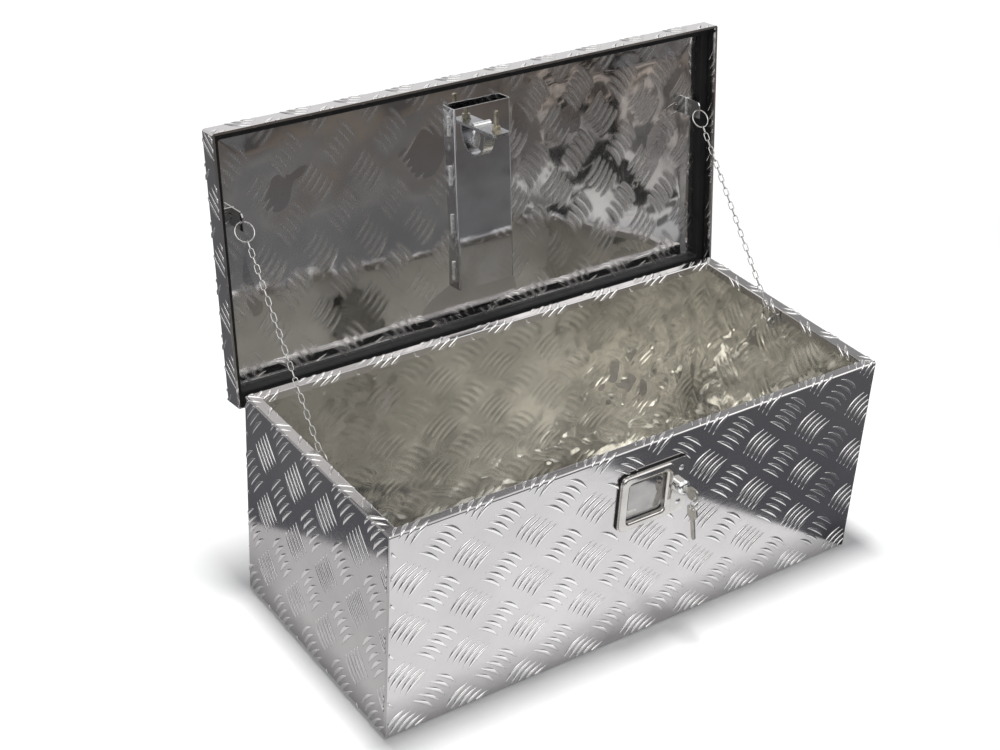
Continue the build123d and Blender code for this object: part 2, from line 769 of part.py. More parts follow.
latch_rivet = rivet(
    latch_sheet + gasket_thickness + sheet, latch_rivet_shank, latch_rivet_head, latch_rivet_dome
)
with BuildPart() as latch_rivets:
    for x, z in latch_rivet_places:
        with Locations(Plane(origin=(x, latch_front, z), z_dir=(0, -1, 0))):
            add(latch_rivet)
pieces["latch_rivets"] = latch_rivets

# Rear bracket: two cheeks and a taller back plate, notched at its top for the striker bolt
bracket_front = pan_floor + pan_wall
bracket_back = bracket_front + bracket_depth
bracket_x = latch_x + bracket_shift
bracket_bottom = latch_z - bracket_drop
bracket_top = bolt_z + bracket_lip
slot_width = striker_bolt_diameter + 2 * stud_slot_clearance
with BuildPart() as latch_bracket:
    with BuildSketch(Plane.XY.offset(bracket_bottom)):
        with Locations((bracket_x, (bracket_front + bracket_back) / 2)):
            Rectangle(bracket_width, bracket_depth)
        with Locations((bracket_x, (bracket_front + bracket_back - bracket_wall) / 2)):
            Rectangle(bracket_width - 2 * bracket_wall, bracket_depth - bracket_wall, mode=Mode.SUBTRACT)
    extrude(amount=bracket_cheek_height)
    with BuildSketch(Plane.XZ.offset(-bracket_back)):
        with Locations((bracket_x, (bracket_bottom + bracket_top) / 2)):
            Rectangle(bracket_width, bracket_top - bracket_bottom)
    extrude(amount=bracket_wall)
    with BuildSketch(Plane.XZ.offset(-bracket_back)):
        with Locations((striker_x, (bolt_z + bracket_top + overrun) / 2)):
            Rectangle(slot_width, bracket_top + overrun - bolt_z)
        with Locations((striker_x, bolt_z)):
            Circle(slot_width / 2)
        with Locations((pivot_x, pivot_z)):
            Circle(pivot_radius)
    extrude(amount=bracket_wall, mode=Mode.SUBTRACT)
pieces["latch_bracket"] = latch_bracket

# Paddle: its plate, the barrel round its pin and the tail that works the hook
paddle_face = crest + paddle_recess
paddle_top = latch_z + pan_height / 2 - paddle_top_gap
paddle_bottom = latch_z - pan_height / 2 + paddle_bottom_gap
paddle_left = latch_x - paddle_width / 2
paddle_right = latch_x + paddle_width / 2
window_x = latch_x - paddle_width / 4
with BuildPart() as paddle:
    with BuildSketch(Plane.XZ.offset(-paddle_face - paddle_thickness)) as paddle_outline:
        with BuildLine():
            Polyline(
                (paddle_left, paddle_top), (paddle_right, paddle_top), (paddle_right, paddle_bottom),
                (paddle_left + paddle_step_width + paddle_step_height, paddle_bottom),
                (paddle_left + paddle_step_width, paddle_bottom + paddle_step_height),
                (paddle_left, paddle_bottom + paddle_step_height), close=True,
            )
        make_face()
        fillet(paddle_outline.vertices(), paddle_corner)
    extrude(amount=paddle_thickness)
    with BuildSketch(Plane.YZ.offset(paddle_left)):
        with Locations((pin_y, pin_z)):
            Circle(paddle_barrel)
        with Locations(((paddle_face + paddle_thickness + pin_y) / 2, pin_z)):
            Rectangle(pin_y - paddle_face - paddle_thickness, 2 * pin_radius)
    extrude(amount=paddle_width)
    with BuildSketch(Plane.XY.offset(pin_z - paddle_tail_thickness / 2)):
        with Locations((tail_x, pin_y + paddle_tail_length / 2)):
            Rectangle(paddle_tail_width, paddle_tail_length)
    extrude(amount=paddle_tail_thickness)
    with BuildSketch(Plane.YZ.offset(paddle_left)):
        with Locations((pin_y, pin_z)):
            Circle(pin_radius + running_clearance)
    extrude(amount=paddle_width, mode=Mode.SUBTRACT)
    with BuildSketch(Plane.YZ.offset(window_x - spring_window / 2)):
        with Locations((pin_y, pin_z)):
            Rectangle(2 * (pin_y - paddle_face - paddle_thickness), 2 * (paddle_barrel + overrun))
    extrude(amount=spring_window, mode=Mode.SUBTRACT)
pieces["paddle"] = paddle

with BuildPart() as paddle_pin:
    with BuildSketch(Plane.YZ.offset(latch_x - pan_width / 2 - pan_wall)):
        with Locations((pin_y, pin_z)):
            Circle(pin_radius)
    extrude(amount=pan_width + 2 * pan_wall)
pieces["paddle_pin"] = paddle_pin

# Return springs of the paddle and the hook
spring_radius = pin_radius + spring_play + spring_wire / 2
spring_pitch = (spring_window - spring_wire - 2 * spring_play) / spring_turns
spring_start = window_x - spring_window / 2 + spring_play + spring_wire / 2
paddle_coil = coil(spring_radius, spring_wire, spring_turns, spring_pitch)
with BuildPart() as paddle_spring:
    with Locations(Plane(origin=(spring_start, pin_y, pin_z), z_dir=(1, 0, 0))):
        add(paddle_coil)
pieces["paddle_spring"] = paddle_spring

# Catch hook: a boss and beak on a sleeve, with a lever at the sleeve's front end
hook_back = bracket_back - bracket_wall - hook_end_play
hook_front = hook_back - hook_thickness
lever_front = bracket_front + hook_end_play
sleeve_radius = pivot_radius + running_clearance + hook_sleeve_wall
throat = bolt_radius + hook_throat
lever_top = pin_z - paddle_tail_thickness / 2 - hook_lever_gap
lever_end = pivot_x + hook_lever_reach
shank_left = striker_x + throat
beak_bottom = bolt_z + throat
with BuildPart() as catch_hook:
    with BuildSketch(Plane.XZ.offset(-hook_back)):
        with Locations((pivot_x, pivot_z)):
            Circle(hook_boss)
        with BuildLine():
            Polyline(
                (pivot_x, pivot_z - hook_boss), (pivot_x + hook_boss, pivot_z),
                (shank_left + hook_shank, bolt_z), (shank_left + hook_shank, beak_bottom),
                (shank_left, beak_bottom + hook_beak), (striker_x - hook_overlap, beak_bottom),
                (shank_left, beak_bottom), (shank_left, bolt_z - throat),
                (pivot_x - hook_boss, pivot_z), close=True,
            )
        make_face()
        with Locations((pivot_x, pivot_z)):
            Circle(pivot_radius + running_clearance, mode=Mode.SUBTRACT)
    extrude(amount=hook_thickness)
    with BuildSketch(Plane.XZ.offset(-hook_front)):
        with Locations((pivot_x, pivot_z)):
            Circle(sleeve_radius)
            Circle(pivot_radius + running_clearance, mode=Mode.SUBTRACT)
    extrude(amount=hook_front - lever_front)
    with BuildSketch(Plane.XZ.offset(-lever_front - hook_lever_thickness)):
        with BuildLine():
            Polyline(
                (pivot_x, pivot_z - sleeve_radius),
                (lever_end, lever_top - hook_lever_height), (lever_end, lever_top),
                (lever_end - hook_lever_height, lever_top),
                (pivot_x - sleeve_radius, pivot_z), close=True,
            )
        make_face()
        with Locations((pivot_x, pivot_z)):
            Circle(sleeve_radius)
            Circle(pivot_radius + running_clearance, mode=Mode.SUBTRACT)
    extrude(amount=hook_lever_thickness)
pieces["catch_hook"] = catch_hook

with BuildPart() as hook_pivot:
    with BuildSketch(Plane.XZ.offset(-bracket_back)):
        with Locations((pivot_x, pivot_z)):
            Circle(pivot_radius)
    extrude(amount=bracket_back - pan_floor)
pieces["hook_pivot"] = hook_pivot

hook_spring_room = hook_front - lever_front - hook_lever_thickness
hook_spring_radius = sleeve_radius + spring_play + hook_spring_wire / 2
hook_spring_pitch = (hook_spring_room - hook_spring_wire - 2 * spring_play) / hook_spring_turns
hook_spring_start = hook_front - spring_play - hook_spring_wire / 2
hook_coil = coil(hook_spring_radius, hook_spring_wire, hook_spring_turns, hook_spring_pitch)
with BuildPart() as hook_spring:
    with Locations(Plane(origin=(pivot_x, hook_spring_start, pivot_z), z_dir=(0, -1, 0))):
        add(hook_coil)
pieces["hook_spring"] = hook_spring

# Lock: barrel, clamping nut, plug with its cam, and the key
lock_face = latch_front - lock_head_length
lock_back = latch_front + lock_body_length
plug_front = lock_face - plug_rise
plug_back = lock_back + plug_tail
with BuildPart() as lock_barrel:
    with BuildSketch(Plane.XZ.offset(-latch_front)):
        with Locations((lock_x, latch_z)):
            Circle(lock_head_radius)
    extrude(amount=lock_head_length)
    fillet(lock_barrel.faces().sort_by(Axis.Y)[0].edges(), lock_head_rounding)
    with BuildSketch(Plane.XZ.offset(-lock_back)):
        with Locations((lock_x, latch_z)):
            Circle(lock_body_radius)
    extrude(amount=lock_body_length)
    with BuildSketch(Plane.XZ.offset(-lock_back)):
        with Locations((lock_x, latch_z)):
            Circle(plug_radius + running_clearance)
    extrude(amount=lock_body_length + lock_head_length, mode=Mode.SUBTRACT)
pieces["lock_barrel"] = lock_barrel

with BuildPart() as lock_nut:
    with BuildSketch(Plane.XZ.offset(-body_front - sheet - lock_nut_height)):
        with Locations((lock_x, latch_z)):
            RegularPolygon(lock_nut_flats / 2, 6, major_radius=False)
            Circle(lock_body_radius, mode=Mode.SUBTRACT)
    extrude(amount=lock_nut_height)
pieces["lock_nut"] = lock_nut

blade_slot = key_blade_width + 2 * key_slot_fit
with BuildPart() as lock_plug:
    with BuildSketch(Plane.XZ.offset(-plug_back)):
        with Locations((lock_x, latch_z)):
            Circle(plug_radius)
    extrude(amount=plug_back - plug_front)
    with BuildSketch(Plane.XZ.offset(-plug_front)):
        with Locations((lock_x, latch_z)):
            Rectangle(key_thickness + 2 * key_slot_fit, blade_slot)
    extrude(amount=-key_blade_length - overrun, mode=Mode.SUBTRACT)
    with BuildSketch(Plane.XZ.offset(-plug_back)):
        with Locations((lock_x, latch_z)):
            Circle(cam_screw_radius)
    extrude(amount=plug_tail, mode=Mode.SUBTRACT)
pieces["lock_plug"] = lock_plug

with BuildPart() as lock_cam:
    with BuildSketch(Plane.XZ.offset(-plug_back - cam_thickness)):
        with Locations((lock_x, latch_z)):
            Circle(cam_width / 2)
        with Locations((lock_x, latch_z + (cam_length - cam_width / 2) / 2)):
            Rectangle(cam_width, cam_length - cam_width / 2)
        with Locations((lock_x, latch_z)):
            Circle(cam_screw_radius, mode=Mode.SUBTRACT)
    extrude(amount=cam_thickness)
pieces["lock_cam"] = lock_cam

with BuildPart() as lock_cam_screw:
    with BuildSketch(Plane.XZ.offset(-plug_back - cam_thickness)):
        with Locations((lock_x, latch_z)):
            Circle(cam_screw_radius)
    extrude(amount=cam_thickness + plug_tail)
    with BuildSketch(Plane.XZ.offset(-plug_back - cam_thickness)):
        with Locations((lock_x, latch_z)):
            Circle(cam_screw_head)
    extrude(amount=-cam_screw_height)
pieces["lock_cam_screw"] = lock_cam_screw


def key_part():
    """A key in the XY plane: its shoulder on the Y axis, blade towards -X and bow towards +X."""
    half_blade = key_blade_width / 2
    with BuildPart() as made:
        with BuildSketch(Plane.XY.offset(-key_thickness / 2)) as outline:
            with Locations((key_shoulder + key_bow_length / 2, 0)):
                RectangleRounded(key_bow_length, key_bow_width, key_bow_corner)
            with BuildLine():
                Polyline(
                    (key_shoulder + key_bow_corner, half_blade),
                    (-key_blade_length + key_blade_tip, half_blade),
                    (-key_blade_length, half_blade - key_blade_tip),
                    (-key_blade_length, -half_blade + key_blade_tip),
                    (-key_blade_length + key_blade_tip, -half_blade),
                    (key_shoulder + key_bow_corner, -half_blade), close=True,
                )
            make_face()
            with Locations((key_shoulder + key_bow_length - key_slot_inset, 0)):
                SlotCenterToCenter(
                    2 * key_slot_offset, 2 * key_slot_radius, rotation=90, mode=Mode.SUBTRACT
                )
        extrude(amount=key_thickness)
    return made.part


# The working key stands in the plug, its bow upright, and carries the ring and the spare key
blank = key_part()
key_shoulder_y = plug_front - key_shoulder_seat
key_hole = Vector(
    lock_x, key_shoulder_y - key_shoulder - key_bow_length + key_slot_inset, latch_z - key_slot_offset
)
with BuildPart() as key:
    with Locations(Plane(origin=(lock_x, key_shoulder_y, latch_z), x_dir=(0, -1, 0), z_dir=(1, 0, 0))):
        add(blank)
pieces["key"] = key

key_ring_radius = (key_ring_diameter - key_ring_wire) / 2
ring_seat = key_slot_radius - key_ring_wire / 2 - key_ring_play
ring_hang = key_hole - Vector(0, 0, ring_seat)
ring_middle = ring_hang - Vector(0, 0, key_ring_radius)
split_ring = ring_part(key_ring_diameter, key_ring_wire)
with BuildPart() as key_ring:
    with Locations(Plane(origin=ring_middle, z_dir=(0, -1, 0))):
        add(split_ring)
pieces["key_ring"] = key_ring

spare_hang = ring_middle - Vector(0, 0, key_ring_radius)
lean = math.radians(spare_key_lean_angle)
spare_up = Vector(0, math.sin(lean), math.cos(lean))
spare_side = Vector(1, 0, 0).cross(spare_up)
spare_hole = spare_hang - Vector(0, 0, ring_seat)
spare_origin = (
    spare_hole - spare_up * (key_shoulder + key_bow_length - key_slot_inset) - spare_side * key_slot_offset
)
with BuildPart() as spare_key:
    with Locations(Plane(origin=spare_origin, x_dir=spare_up, z_dir=(1, 0, 0))):
        add(blank)
pieces["spare_key"] = spare_key

for name, piece in pieces.items():
    piece.part.label = name
    export_step(piece.part, f"parts/{name}.step")
    print(name, len(piece.part.solids()), round(piece.part.volume))
print("spring gap", round(spring_pitch - spring_wire, 2), round(hook_spring_pitch - hook_spring_wire, 2))
print("hinge axis", hinge_y, hinge_z)
print("chain top", tuple(chain_top), "anchor", anchor_y, anchor_z, "reach", chain_reach)
print("paddle pin", pin_y, pin_z, "hook pivot", pivot_x, pivot_z, "lock", lock_x, latch_z)
print("key hole", tuple(key_hole), "ring hang", tuple(ring_hang), "spare hang", tuple(spare_hang))
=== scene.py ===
"""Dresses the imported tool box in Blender: materials, raised pattern, inner skins and studio."""

import json
import math

import bmesh
import bpy
import numpy as np
from mathutils import Matrix, Vector


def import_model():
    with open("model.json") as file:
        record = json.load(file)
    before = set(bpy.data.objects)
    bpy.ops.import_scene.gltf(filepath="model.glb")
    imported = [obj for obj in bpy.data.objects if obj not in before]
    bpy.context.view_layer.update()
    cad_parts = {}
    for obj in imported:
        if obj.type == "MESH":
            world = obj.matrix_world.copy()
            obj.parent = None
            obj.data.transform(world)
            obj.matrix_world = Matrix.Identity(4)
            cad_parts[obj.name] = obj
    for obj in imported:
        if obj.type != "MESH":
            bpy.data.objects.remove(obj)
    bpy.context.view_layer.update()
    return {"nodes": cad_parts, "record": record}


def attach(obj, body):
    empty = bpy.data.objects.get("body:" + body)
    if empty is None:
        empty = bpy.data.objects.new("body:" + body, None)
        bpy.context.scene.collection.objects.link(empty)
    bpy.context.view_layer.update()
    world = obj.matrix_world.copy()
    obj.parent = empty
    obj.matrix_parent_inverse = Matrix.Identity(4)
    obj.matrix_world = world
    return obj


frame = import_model()

MM = 0.001

# Sizes of the part that the pieces here are fitted to, in millimetres
BODY_LENGTH, BODY_WIDTH, BODY_HEIGHT = 762.0, 345.0, 303.0
SHEET, BEND = 1.5, 3.0
RIM_SIDE, RIM_FRONT, RIM_LIP, RIM_BEND = 17.0, 14.0, 11.0, 2.0
LID_LENGTH, LID_FRONT, LID_REAR = 777.0, -180.5, 179.0
LID_BOTTOM, LID_TOP, HEM_HEIGHT = 287.5, 316.5, 15.0
HINGE_Y, HINGE_Z, LID_OPENING = 175.0, 287.5, 97.4
PANEL_INSIDE = 315.0

# The place round the latch that the pattern leaves bare: lowest and highest x, then z
LATCH_BOX = (-50.5, 59.0, 184.0, 269.0)

# Carries a point of the closed lid to the open lid, in millimetres
OPENED = (
    Matrix.Translation((0, HINGE_Y, HINGE_Z))
    @ Matrix.Rotation(math.radians(-LID_OPENING), 4, "X")
    @ Matrix.Translation((0, -HINGE_Y, -HINGE_Z))
)


def camera():
    """The photograph's view, found by fitting the box's corners."""
    azimuth, elevation, roll = -0.635539, 0.549274, 0.058716
    distance, target = 2.423174, Vector((-0.025178, 0.119531, 0.251987))
    back = Vector((
        math.sin(azimuth) * math.cos(elevation),
        -math.cos(azimuth) * math.cos(elevation),
        math.sin(elevation),
    ))
    right = (-back).cross(Vector((0, 0, 1))).normalized()
    up = right.cross(-back)
    across = right * math.cos(roll) + up * math.sin(roll)
    above = up * math.cos(roll) - right * math.sin(roll)
    data = bpy.data.cameras.new("camera")
    data.sensor_width = 36.0
    data.lens = 64.904
    data.clip_start, data.clip_end = 0.05, 60.0
    obj = bpy.data.objects.new("camera", data)
    bpy.context.collection.objects.link(obj)
    turn = Matrix((across, above, back)).transposed().to_4x4()
    obj.matrix_world = Matrix.Translation(target + back * distance) @ turn
    bpy.context.scene.camera = obj


camera()

# Materials

# Where the values of one noise, and of two added up, mostly begin and end
NOISE_LOW, NOISE_HIGH = 0.3, 0.7
SUM_LOW, SUM_HIGH = 0.7, 1.3


def material(name):
    """A new material with its nodes, links and surface shader."""
    made = bpy.data.materials.new(name)
    made.use_nodes = True
    nodes, links = made.node_tree.nodes, made.node_tree.links
    nodes.clear()
    out = nodes.new("ShaderNodeOutputMaterial")
    shader = nodes.new("ShaderNodeBsdfPrincipled")
    links.new(shader.outputs["BSDF"], out.inputs["Surface"])
    return made, nodes, links, shader


def noise(nodes, links, scale, stretch=(1, 1, 1), detail=3.0, rough=0.5, distortion=0.0):
    """A noise texture in metres over the object, stretched along its axes."""
    place = nodes.new("ShaderNodeTexCoord")
    mapping = nodes.new("ShaderNodeMapping")
    mapping.inputs["Scale"].default_value = stretch
    tex = nodes.new("ShaderNodeTexNoise")
    tex.inputs["Scale"].default_value = scale
    tex.inputs["Detail"].default_value = detail
    tex.inputs["Roughness"].default_value = rough
    tex.inputs["Distortion"].default_value = distortion
    links.new(place.outputs["Object"], mapping.inputs["Vector"])
    links.new(mapping.outputs["Vector"], tex.inputs["Vector"])
    return tex


def ramp(nodes, links, source, stops):
    """A source from 0 to 1 turned into colours, from stops of place and colour."""
    made = nodes.new("ShaderNodeValToRGB")
    bar = made.color_ramp
    while len(bar.elements) < len(stops):
        bar.elements.new(0.5)
    for element, (place, colour) in zip(bar.elements, stops):
        element.position = place
        element.color = (*colour, 1.0)
    links.new(source, made.inputs["Fac"])
    return made


def two_tone(nodes, links, source, dark, light):
    """A noise turned into the colours between two tones."""
    return ramp(nodes, links, source, [(NOISE_LOW, dark), (NOISE_HIGH, light)])


def span(nodes, links, source, low, high, from_low=NOISE_LOW, from_high=NOISE_HIGH):
    """A source's range carried to the range from low to high."""
    made = nodes.new("ShaderNodeMapRange")
    made.inputs["From Min"].default_value = from_low
    made.inputs["From Max"].default_value = from_high
    made.inputs["To Min"].default_value = low
    made.inputs["To Max"].default_value = high
    links.new(source, made.inputs["Value"])
    return made


def combine(nodes, links, operation, first, second):
    """Two outputs put through one Math node."""
    made = nodes.new("ShaderNodeMath")
    made.operation = operation
    links.new(first, made.inputs[0])
    links.new(second, made.inputs[1])
    return made.outputs["Value"]


def attribute(nodes, name):
    """The values that a mesh carries under this name."""
    made = nodes.new("ShaderNodeAttribute")
    made.attribute_name = name
    return made.outputs["Fac"]


def matt(shader, rough):
    """Makes a surface dull, with no mirror image."""
    shader.inputs["Roughness"].default_value = rough
    shader.inputs["Specular IOR Level"].default_value = 0.0


def bump(nodes, links, shader, source, distance, under=None):
    """Relief of this height in metres, over the relief of another bump where one is given."""
    made = nodes.new("ShaderNodeBump")
    made.inputs["Strength"].default_value = 1.0
    made.inputs["Distance"].default_value = distance
    links.new(source, made.inputs["Height"])
    if under is not None:
        links.new(under.outputs["Normal"], made.inputs["Normal"])
    links.new(made.outputs["Normal"], shader.inputs["Normal"])
    return made


def metal(
    name, dark, light, rough, patch=14.0, grain=900.0, stretch=(1, 1, 1), fine=0.00002, wave=None,
    haze=0.0, marks=0.0,
):
    """A metal between two tones, with a range of roughness over patches and fine grain.

    patch and grain are the scales of these, stretch is the grain's, and fine is its height in metres.
    wave adds a slow waviness (scale, height). haze takes metal away. marks dulls a mesh's marks by
    this much, and such a mesh's shade, which is painted light and shade, shifts the tone.
    """
    made, nodes, links, shader = material(name)
    shader.inputs["Metallic"].default_value = 1.0 - haze
    clouds = noise(nodes, links, patch, detail=4.0, rough=0.6)
    tone = clouds.outputs["Fac"]
    if marks:
        # Painted light and shade: the mesh's shade attribute lightens or darkens the tone
        tone = combine(nodes, links, "ADD", tone, attribute(nodes, "shade"))
    colour = two_tone(nodes, links, tone, dark, light)
    links.new(colour.outputs["Color"], shader.inputs["Base Color"])
    streaks = noise(nodes, links, grain, stretch, detail=2.0)
    mixed = combine(nodes, links, "ADD", streaks.outputs["Fac"], clouds.outputs["Fac"])
    gloss = span(nodes, links, mixed, *rough, SUM_LOW, SUM_HIGH).outputs["Result"]
    if marks:
        duller = nodes.new("ShaderNodeMath")
        duller.operation = "MULTIPLY_ADD"
        duller.inputs[1].default_value = marks
        links.new(attribute(nodes, "marks"), duller.inputs[0])
        links.new(gloss, duller.inputs[2])
        gloss = duller.outputs["Value"]
    links.new(gloss, shader.inputs["Roughness"])
    under = None
    if wave:
        slow = noise(nodes, links, wave[0], detail=1.0)
        under = bump(nodes, links, shader, slow.outputs["Fac"], wave[1])
    bump(nodes, links, shader, streaks.outputs["Fac"], fine, under=under)
    return made


def painted_shade_ledge(look, depth, height, colour=(0.05, 0.05, 0.06, 1)):
    """Paints shade into a look where it lies behind the first range of y and below the range of z, in
    metres: a near-black colour standing in for the shade in a recess.
    """
    nodes, links = look.node_tree.nodes, look.node_tree.links
    shader = next(n for n in nodes if n.type == "BSDF_PRINCIPLED")
    source = shader.inputs["Base Color"].links[0].from_socket
    place = nodes.new("ShaderNodeNewGeometry")
    parts = nodes.new("ShaderNodeSeparateXYZ")
    links.new(place.outputs["Position"], parts.inputs["Vector"])
    behind = span(nodes, links, parts.outputs["Y"], 0.0, 1.0, *depth)
    low = span(nodes, links, parts.outputs["Z"], 1.0, 0.0, *height)
    painted_shade_mask = combine(nodes, links, "MULTIPLY", behind.outputs["Result"], low.outputs["Result"])
    mix = nodes.new("ShaderNodeMix")
    mix.data_type = "RGBA"
    mix.inputs["B"].default_value = colour
    links.new(painted_shade_mask, mix.inputs["Factor"])
    links.new(source, mix.inputs["A"])
    links.new(mix.outputs["Result"], shader.inputs["Base Color"])


def rubber():
    """Black rubber with fine pores."""
    made, nodes, links, shader = material("black_rubber")
    clouds = noise(nodes, links, 60.0, detail=4.0)
    colour = two_tone(nodes, links, clouds.outputs["Fac"], (0.006, 0.006, 0.007), (0.016, 0.016, 0.017))
    links.new(colour.outputs["Color"], shader.inputs["Base Color"])
    gloss = span(nodes, links, clouds.outputs["Fac"], 0.5, 0.7)
    links.new(gloss.outputs["Result"], shader.inputs["Roughness"])
    shader.inputs["Specular IOR Level"].default_value = 0.3
    pores = noise(nodes, links, 1800.0, detail=2.0)
    bump(nodes, links, shader, pores.outputs["Fac"], 0.00008)
    return made


def grey(level):
    """One level for all three colours."""
    return level, level, level


TREAD = metal(
    "tread_aluminium", (0.53, 0.515, 0.515), (0.60, 0.585, 0.585), (0.08, 0.16),
    patch=10.0, grain=260.0, stretch=(0.25, 1, 1), fine=0.00001, wave=(9.0, 0.0004),
)
# The raised bars: a lighter copy of the tread aluminium, painted highlight where the bars catch the light
BARS_PAINTED_HIGHLIGHT = metal(
    "tread_bar_painted_highlight", (0.74, 0.73, 0.725), (0.86, 0.85, 0.845), (0.08, 0.16),
    patch=20.0, grain=500.0, fine=0.00001,
)
# Inner aluminium: the skins' painted light lifts its tone towards the cream light end, and their painted
# shade lowers it
SKIN = metal(
    "inner_aluminium", (0.52, 0.51, 0.48), (0.98, 0.96, 0.90), (0.03, 0.09),
    patch=8.0, grain=320.0, stretch=(1, 1, 0.3), fine=0.000004, haze=0.12, marks=0.10,
)
# The inner front wall: a lighter, duller copy of the inner aluminium, painted light standing in for the
# bounced light that the open lid mirrors from it
FRONT_SKIN_PAINTED_LIGHT = metal(
    "inner_front_aluminium_painted_light", (0.86, 0.84, 0.80), (0.96, 0.94, 0.90), (0.06, 0.14),
    patch=8.0, grain=320.0, stretch=(1, 1, 0.3), fine=0.000006, haze=0.85, marks=0.14,
)
LID_SKIN = metal(
    "lid_inner_aluminium", (0.60, 0.59, 0.585), (0.80, 0.79, 0.775), (0.03, 0.06),
    patch=8.0, grain=320.0, stretch=(1, 1, 0.3), fine=0.000003, haze=0.03, marks=0.28,
)
BRIGHT = metal(
    "bright_aluminium", grey(0.60), grey(0.74), (0.08, 0.16), patch=18.0, grain=420.0, stretch=(1, 1, 0.2),
)
TAB = metal(
    "tab_aluminium", grey(0.46), grey(0.60), (0.04, 0.1),
    patch=18.0, grain=420.0, stretch=(1, 1, 0.2), fine=0.000006,
)
CHANNEL = metal(
    "channel_aluminium", (0.56, 0.55, 0.56), (0.74, 0.75, 0.78), (0.02, 0.07),
    patch=14.0, grain=420.0, stretch=(1, 1, 0.2), fine=0.000004, wave=(12.0, 0.0003),
)
WELD = metal(
    "weld_metal", (0.70, 0.70, 0.69), (0.88, 0.88, 0.87), (0.2, 0.36),
    patch=160.0, grain=1400.0, fine=0.00015,
)
STEEL = metal(
    "bright_steel", grey(0.34), grey(0.50), (0.18, 0.34),
    patch=40.0, grain=800.0, stretch=(0.15, 1, 1), fine=0.00004,
)
POLISHED, PAN = (
    metal(
        name, (0.50, 0.485, 0.465), (0.64, 0.62, 0.60), (0.05, 0.12),
        patch=30.0, grain=700.0, stretch=(0.2, 1, 1), fine=0.000006,
    )
    for name in ("polished_steel", "pan_steel")
)
# Painted shade: the pan turns near-black deep in its recess below the paddle, where shade falls
painted_shade_ledge(PAN, (-0.1745, -0.1725), (0.200, 0.203))
# The paddle: a darker copy of the polished steel, painted shade for the paddle sunk in the latch's recess
PADDLE_PAINTED_SHADE = metal(
    "paddle_steel_painted_shade", (0.30, 0.295, 0.29), (0.40, 0.39, 0.385), (0.04, 0.09),
    patch=30.0, grain=700.0, stretch=(0.2, 1, 1), fine=0.000004, wave=(22.0, 0.0003),
)
ZINC = metal(
    "zinc_steel", (0.36, 0.33, 0.25), (0.58, 0.54, 0.42), (0.22, 0.4),
    patch=120.0, grain=1500.0, fine=0.00004,
)
HINGE = metal(
    "hinge_steel", grey(0.50), grey(0.66), (0.2, 0.36),
    patch=30.0, grain=900.0, stretch=(0.2, 1, 1), fine=0.00003,
)
RIVET = metal(
    "rivet_metal", grey(0.62), grey(0.80), (0.2, 0.34), patch=90.0, grain=1400.0, fine=0.00004,
)
SPRING = metal(
    "spring_steel", (0.45, 0.45, 0.46), (0.62, 0.62, 0.63), (0.2, 0.34),
    patch=90.0, grain=1500.0, fine=0.00003,
)
CHAIN = metal(
    "chain_steel", (0.42, 0.41, 0.40), (0.64, 0.63, 0.61), (0.12, 0.26),
    patch=90.0, grain=1500.0, fine=0.00003,
)
CHROME = metal(
    "lock_chrome", grey(0.74), grey(0.88), (0.05, 0.14), patch=60.0, grain=1200.0, fine=0.00001,
)
NICKEL = metal(
    "key_nickel", (0.42, 0.41, 0.37), (0.62, 0.60, 0.55), (0.24, 0.42),
    patch=120.0, grain=1500.0, fine=0.00004,
)
RUBBER = rubber()

# Which look each CAD node gets: its own where one is named, and else its material slot's
BY_SLOT = {
    "tread_aluminium": TREAD, "bright_aluminium": BRIGHT, "weld_metal": WELD, "bright_steel": STEEL,
    "polished_steel": POLISHED, "zinc_steel": ZINC, "hinge_steel": HINGE, "rivet_metal": RIVET,
    "spring_steel": SPRING, "chain_steel": CHAIN, "lock_chrome": CHROME, "key_nickel": NICKEL,
    "black_rubber": RUBBER,
}
BY_NODE = {
    "lid_channel": CHANNEL, "paddle": PADDLE_PAINTED_SHADE, "latch_pan": PAN,
    "lid_chain_tab_left": TAB, "lid_chain_tab_right": TAB,
}
for part in frame["record"]["subparts"]:
    node = frame["nodes"][part["node"]]
    node.data.materials.clear()
    look = BY_NODE.get(part["node"], BY_SLOT[part["material_slot"]])
    node.data.materials.append(look)

# Pieces


def piece(name, points, faces, body, look):
    """A mesh from points in millimetres, riding a body of the part."""
    mesh = bpy.data.meshes.new(name)
    mesh.from_pydata((np.asarray(points, dtype=float) * MM).tolist(), [], [list(f) for f in faces])
    mesh.materials.append(look)
    mesh.validate()
    mesh.shade_smooth()
    obj = bpy.data.objects.new(name, mesh)
    bpy.context.collection.objects.link(obj)
    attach(obj, body)
    return obj


def carried(points):
    """Points of the closed lid, in millimetres, carried to the open lid."""
    turn = np.array(OPENED)
    return points @ turn[:3, :3].T + turn[:3, 3]


# Tread pattern: clusters of five raised bars that lean one way or the other, repeated at this pitch.
# A cluster has its middle, its bars' direction, the step from bar to bar and the side they bow to.
PITCH_U, PITCH_T = 90.0, 74.5
BAR_COUNT = 5
FIRST = {"centre": (117.0, 68.0), "run": (30.0, -26.0), "stack": (7.8, 6.5), "bow": (-0.65, -0.76)}
SECOND = {"centre": (70.0, 32.5), "run": (35.5, 27.5), "stack": (-7.8, 6.7), "bow": (0.61, -0.79)}
BAR_LENGTH, BAR_WIDTH, BAR_BOW = 42.0, 5.8, 3.2

# How far off the sheet a bar's middle may lie, because its end may still cross the edge
BAR_REACH = 30.0

# How many cross sections a bar has, how far it sinks into the sheet as a share of its height, the
# powers that shape it, and the shares of its size left at its tips
STATIONS = 13
BAR_FOOT = -0.12
CROWN_POWER, WIDTH_POWER, HEIGHT_POWER = 0.9, 1.9, 3.0
TIP_WIDTH, TIP_HEIGHT = 0.04, 0.08


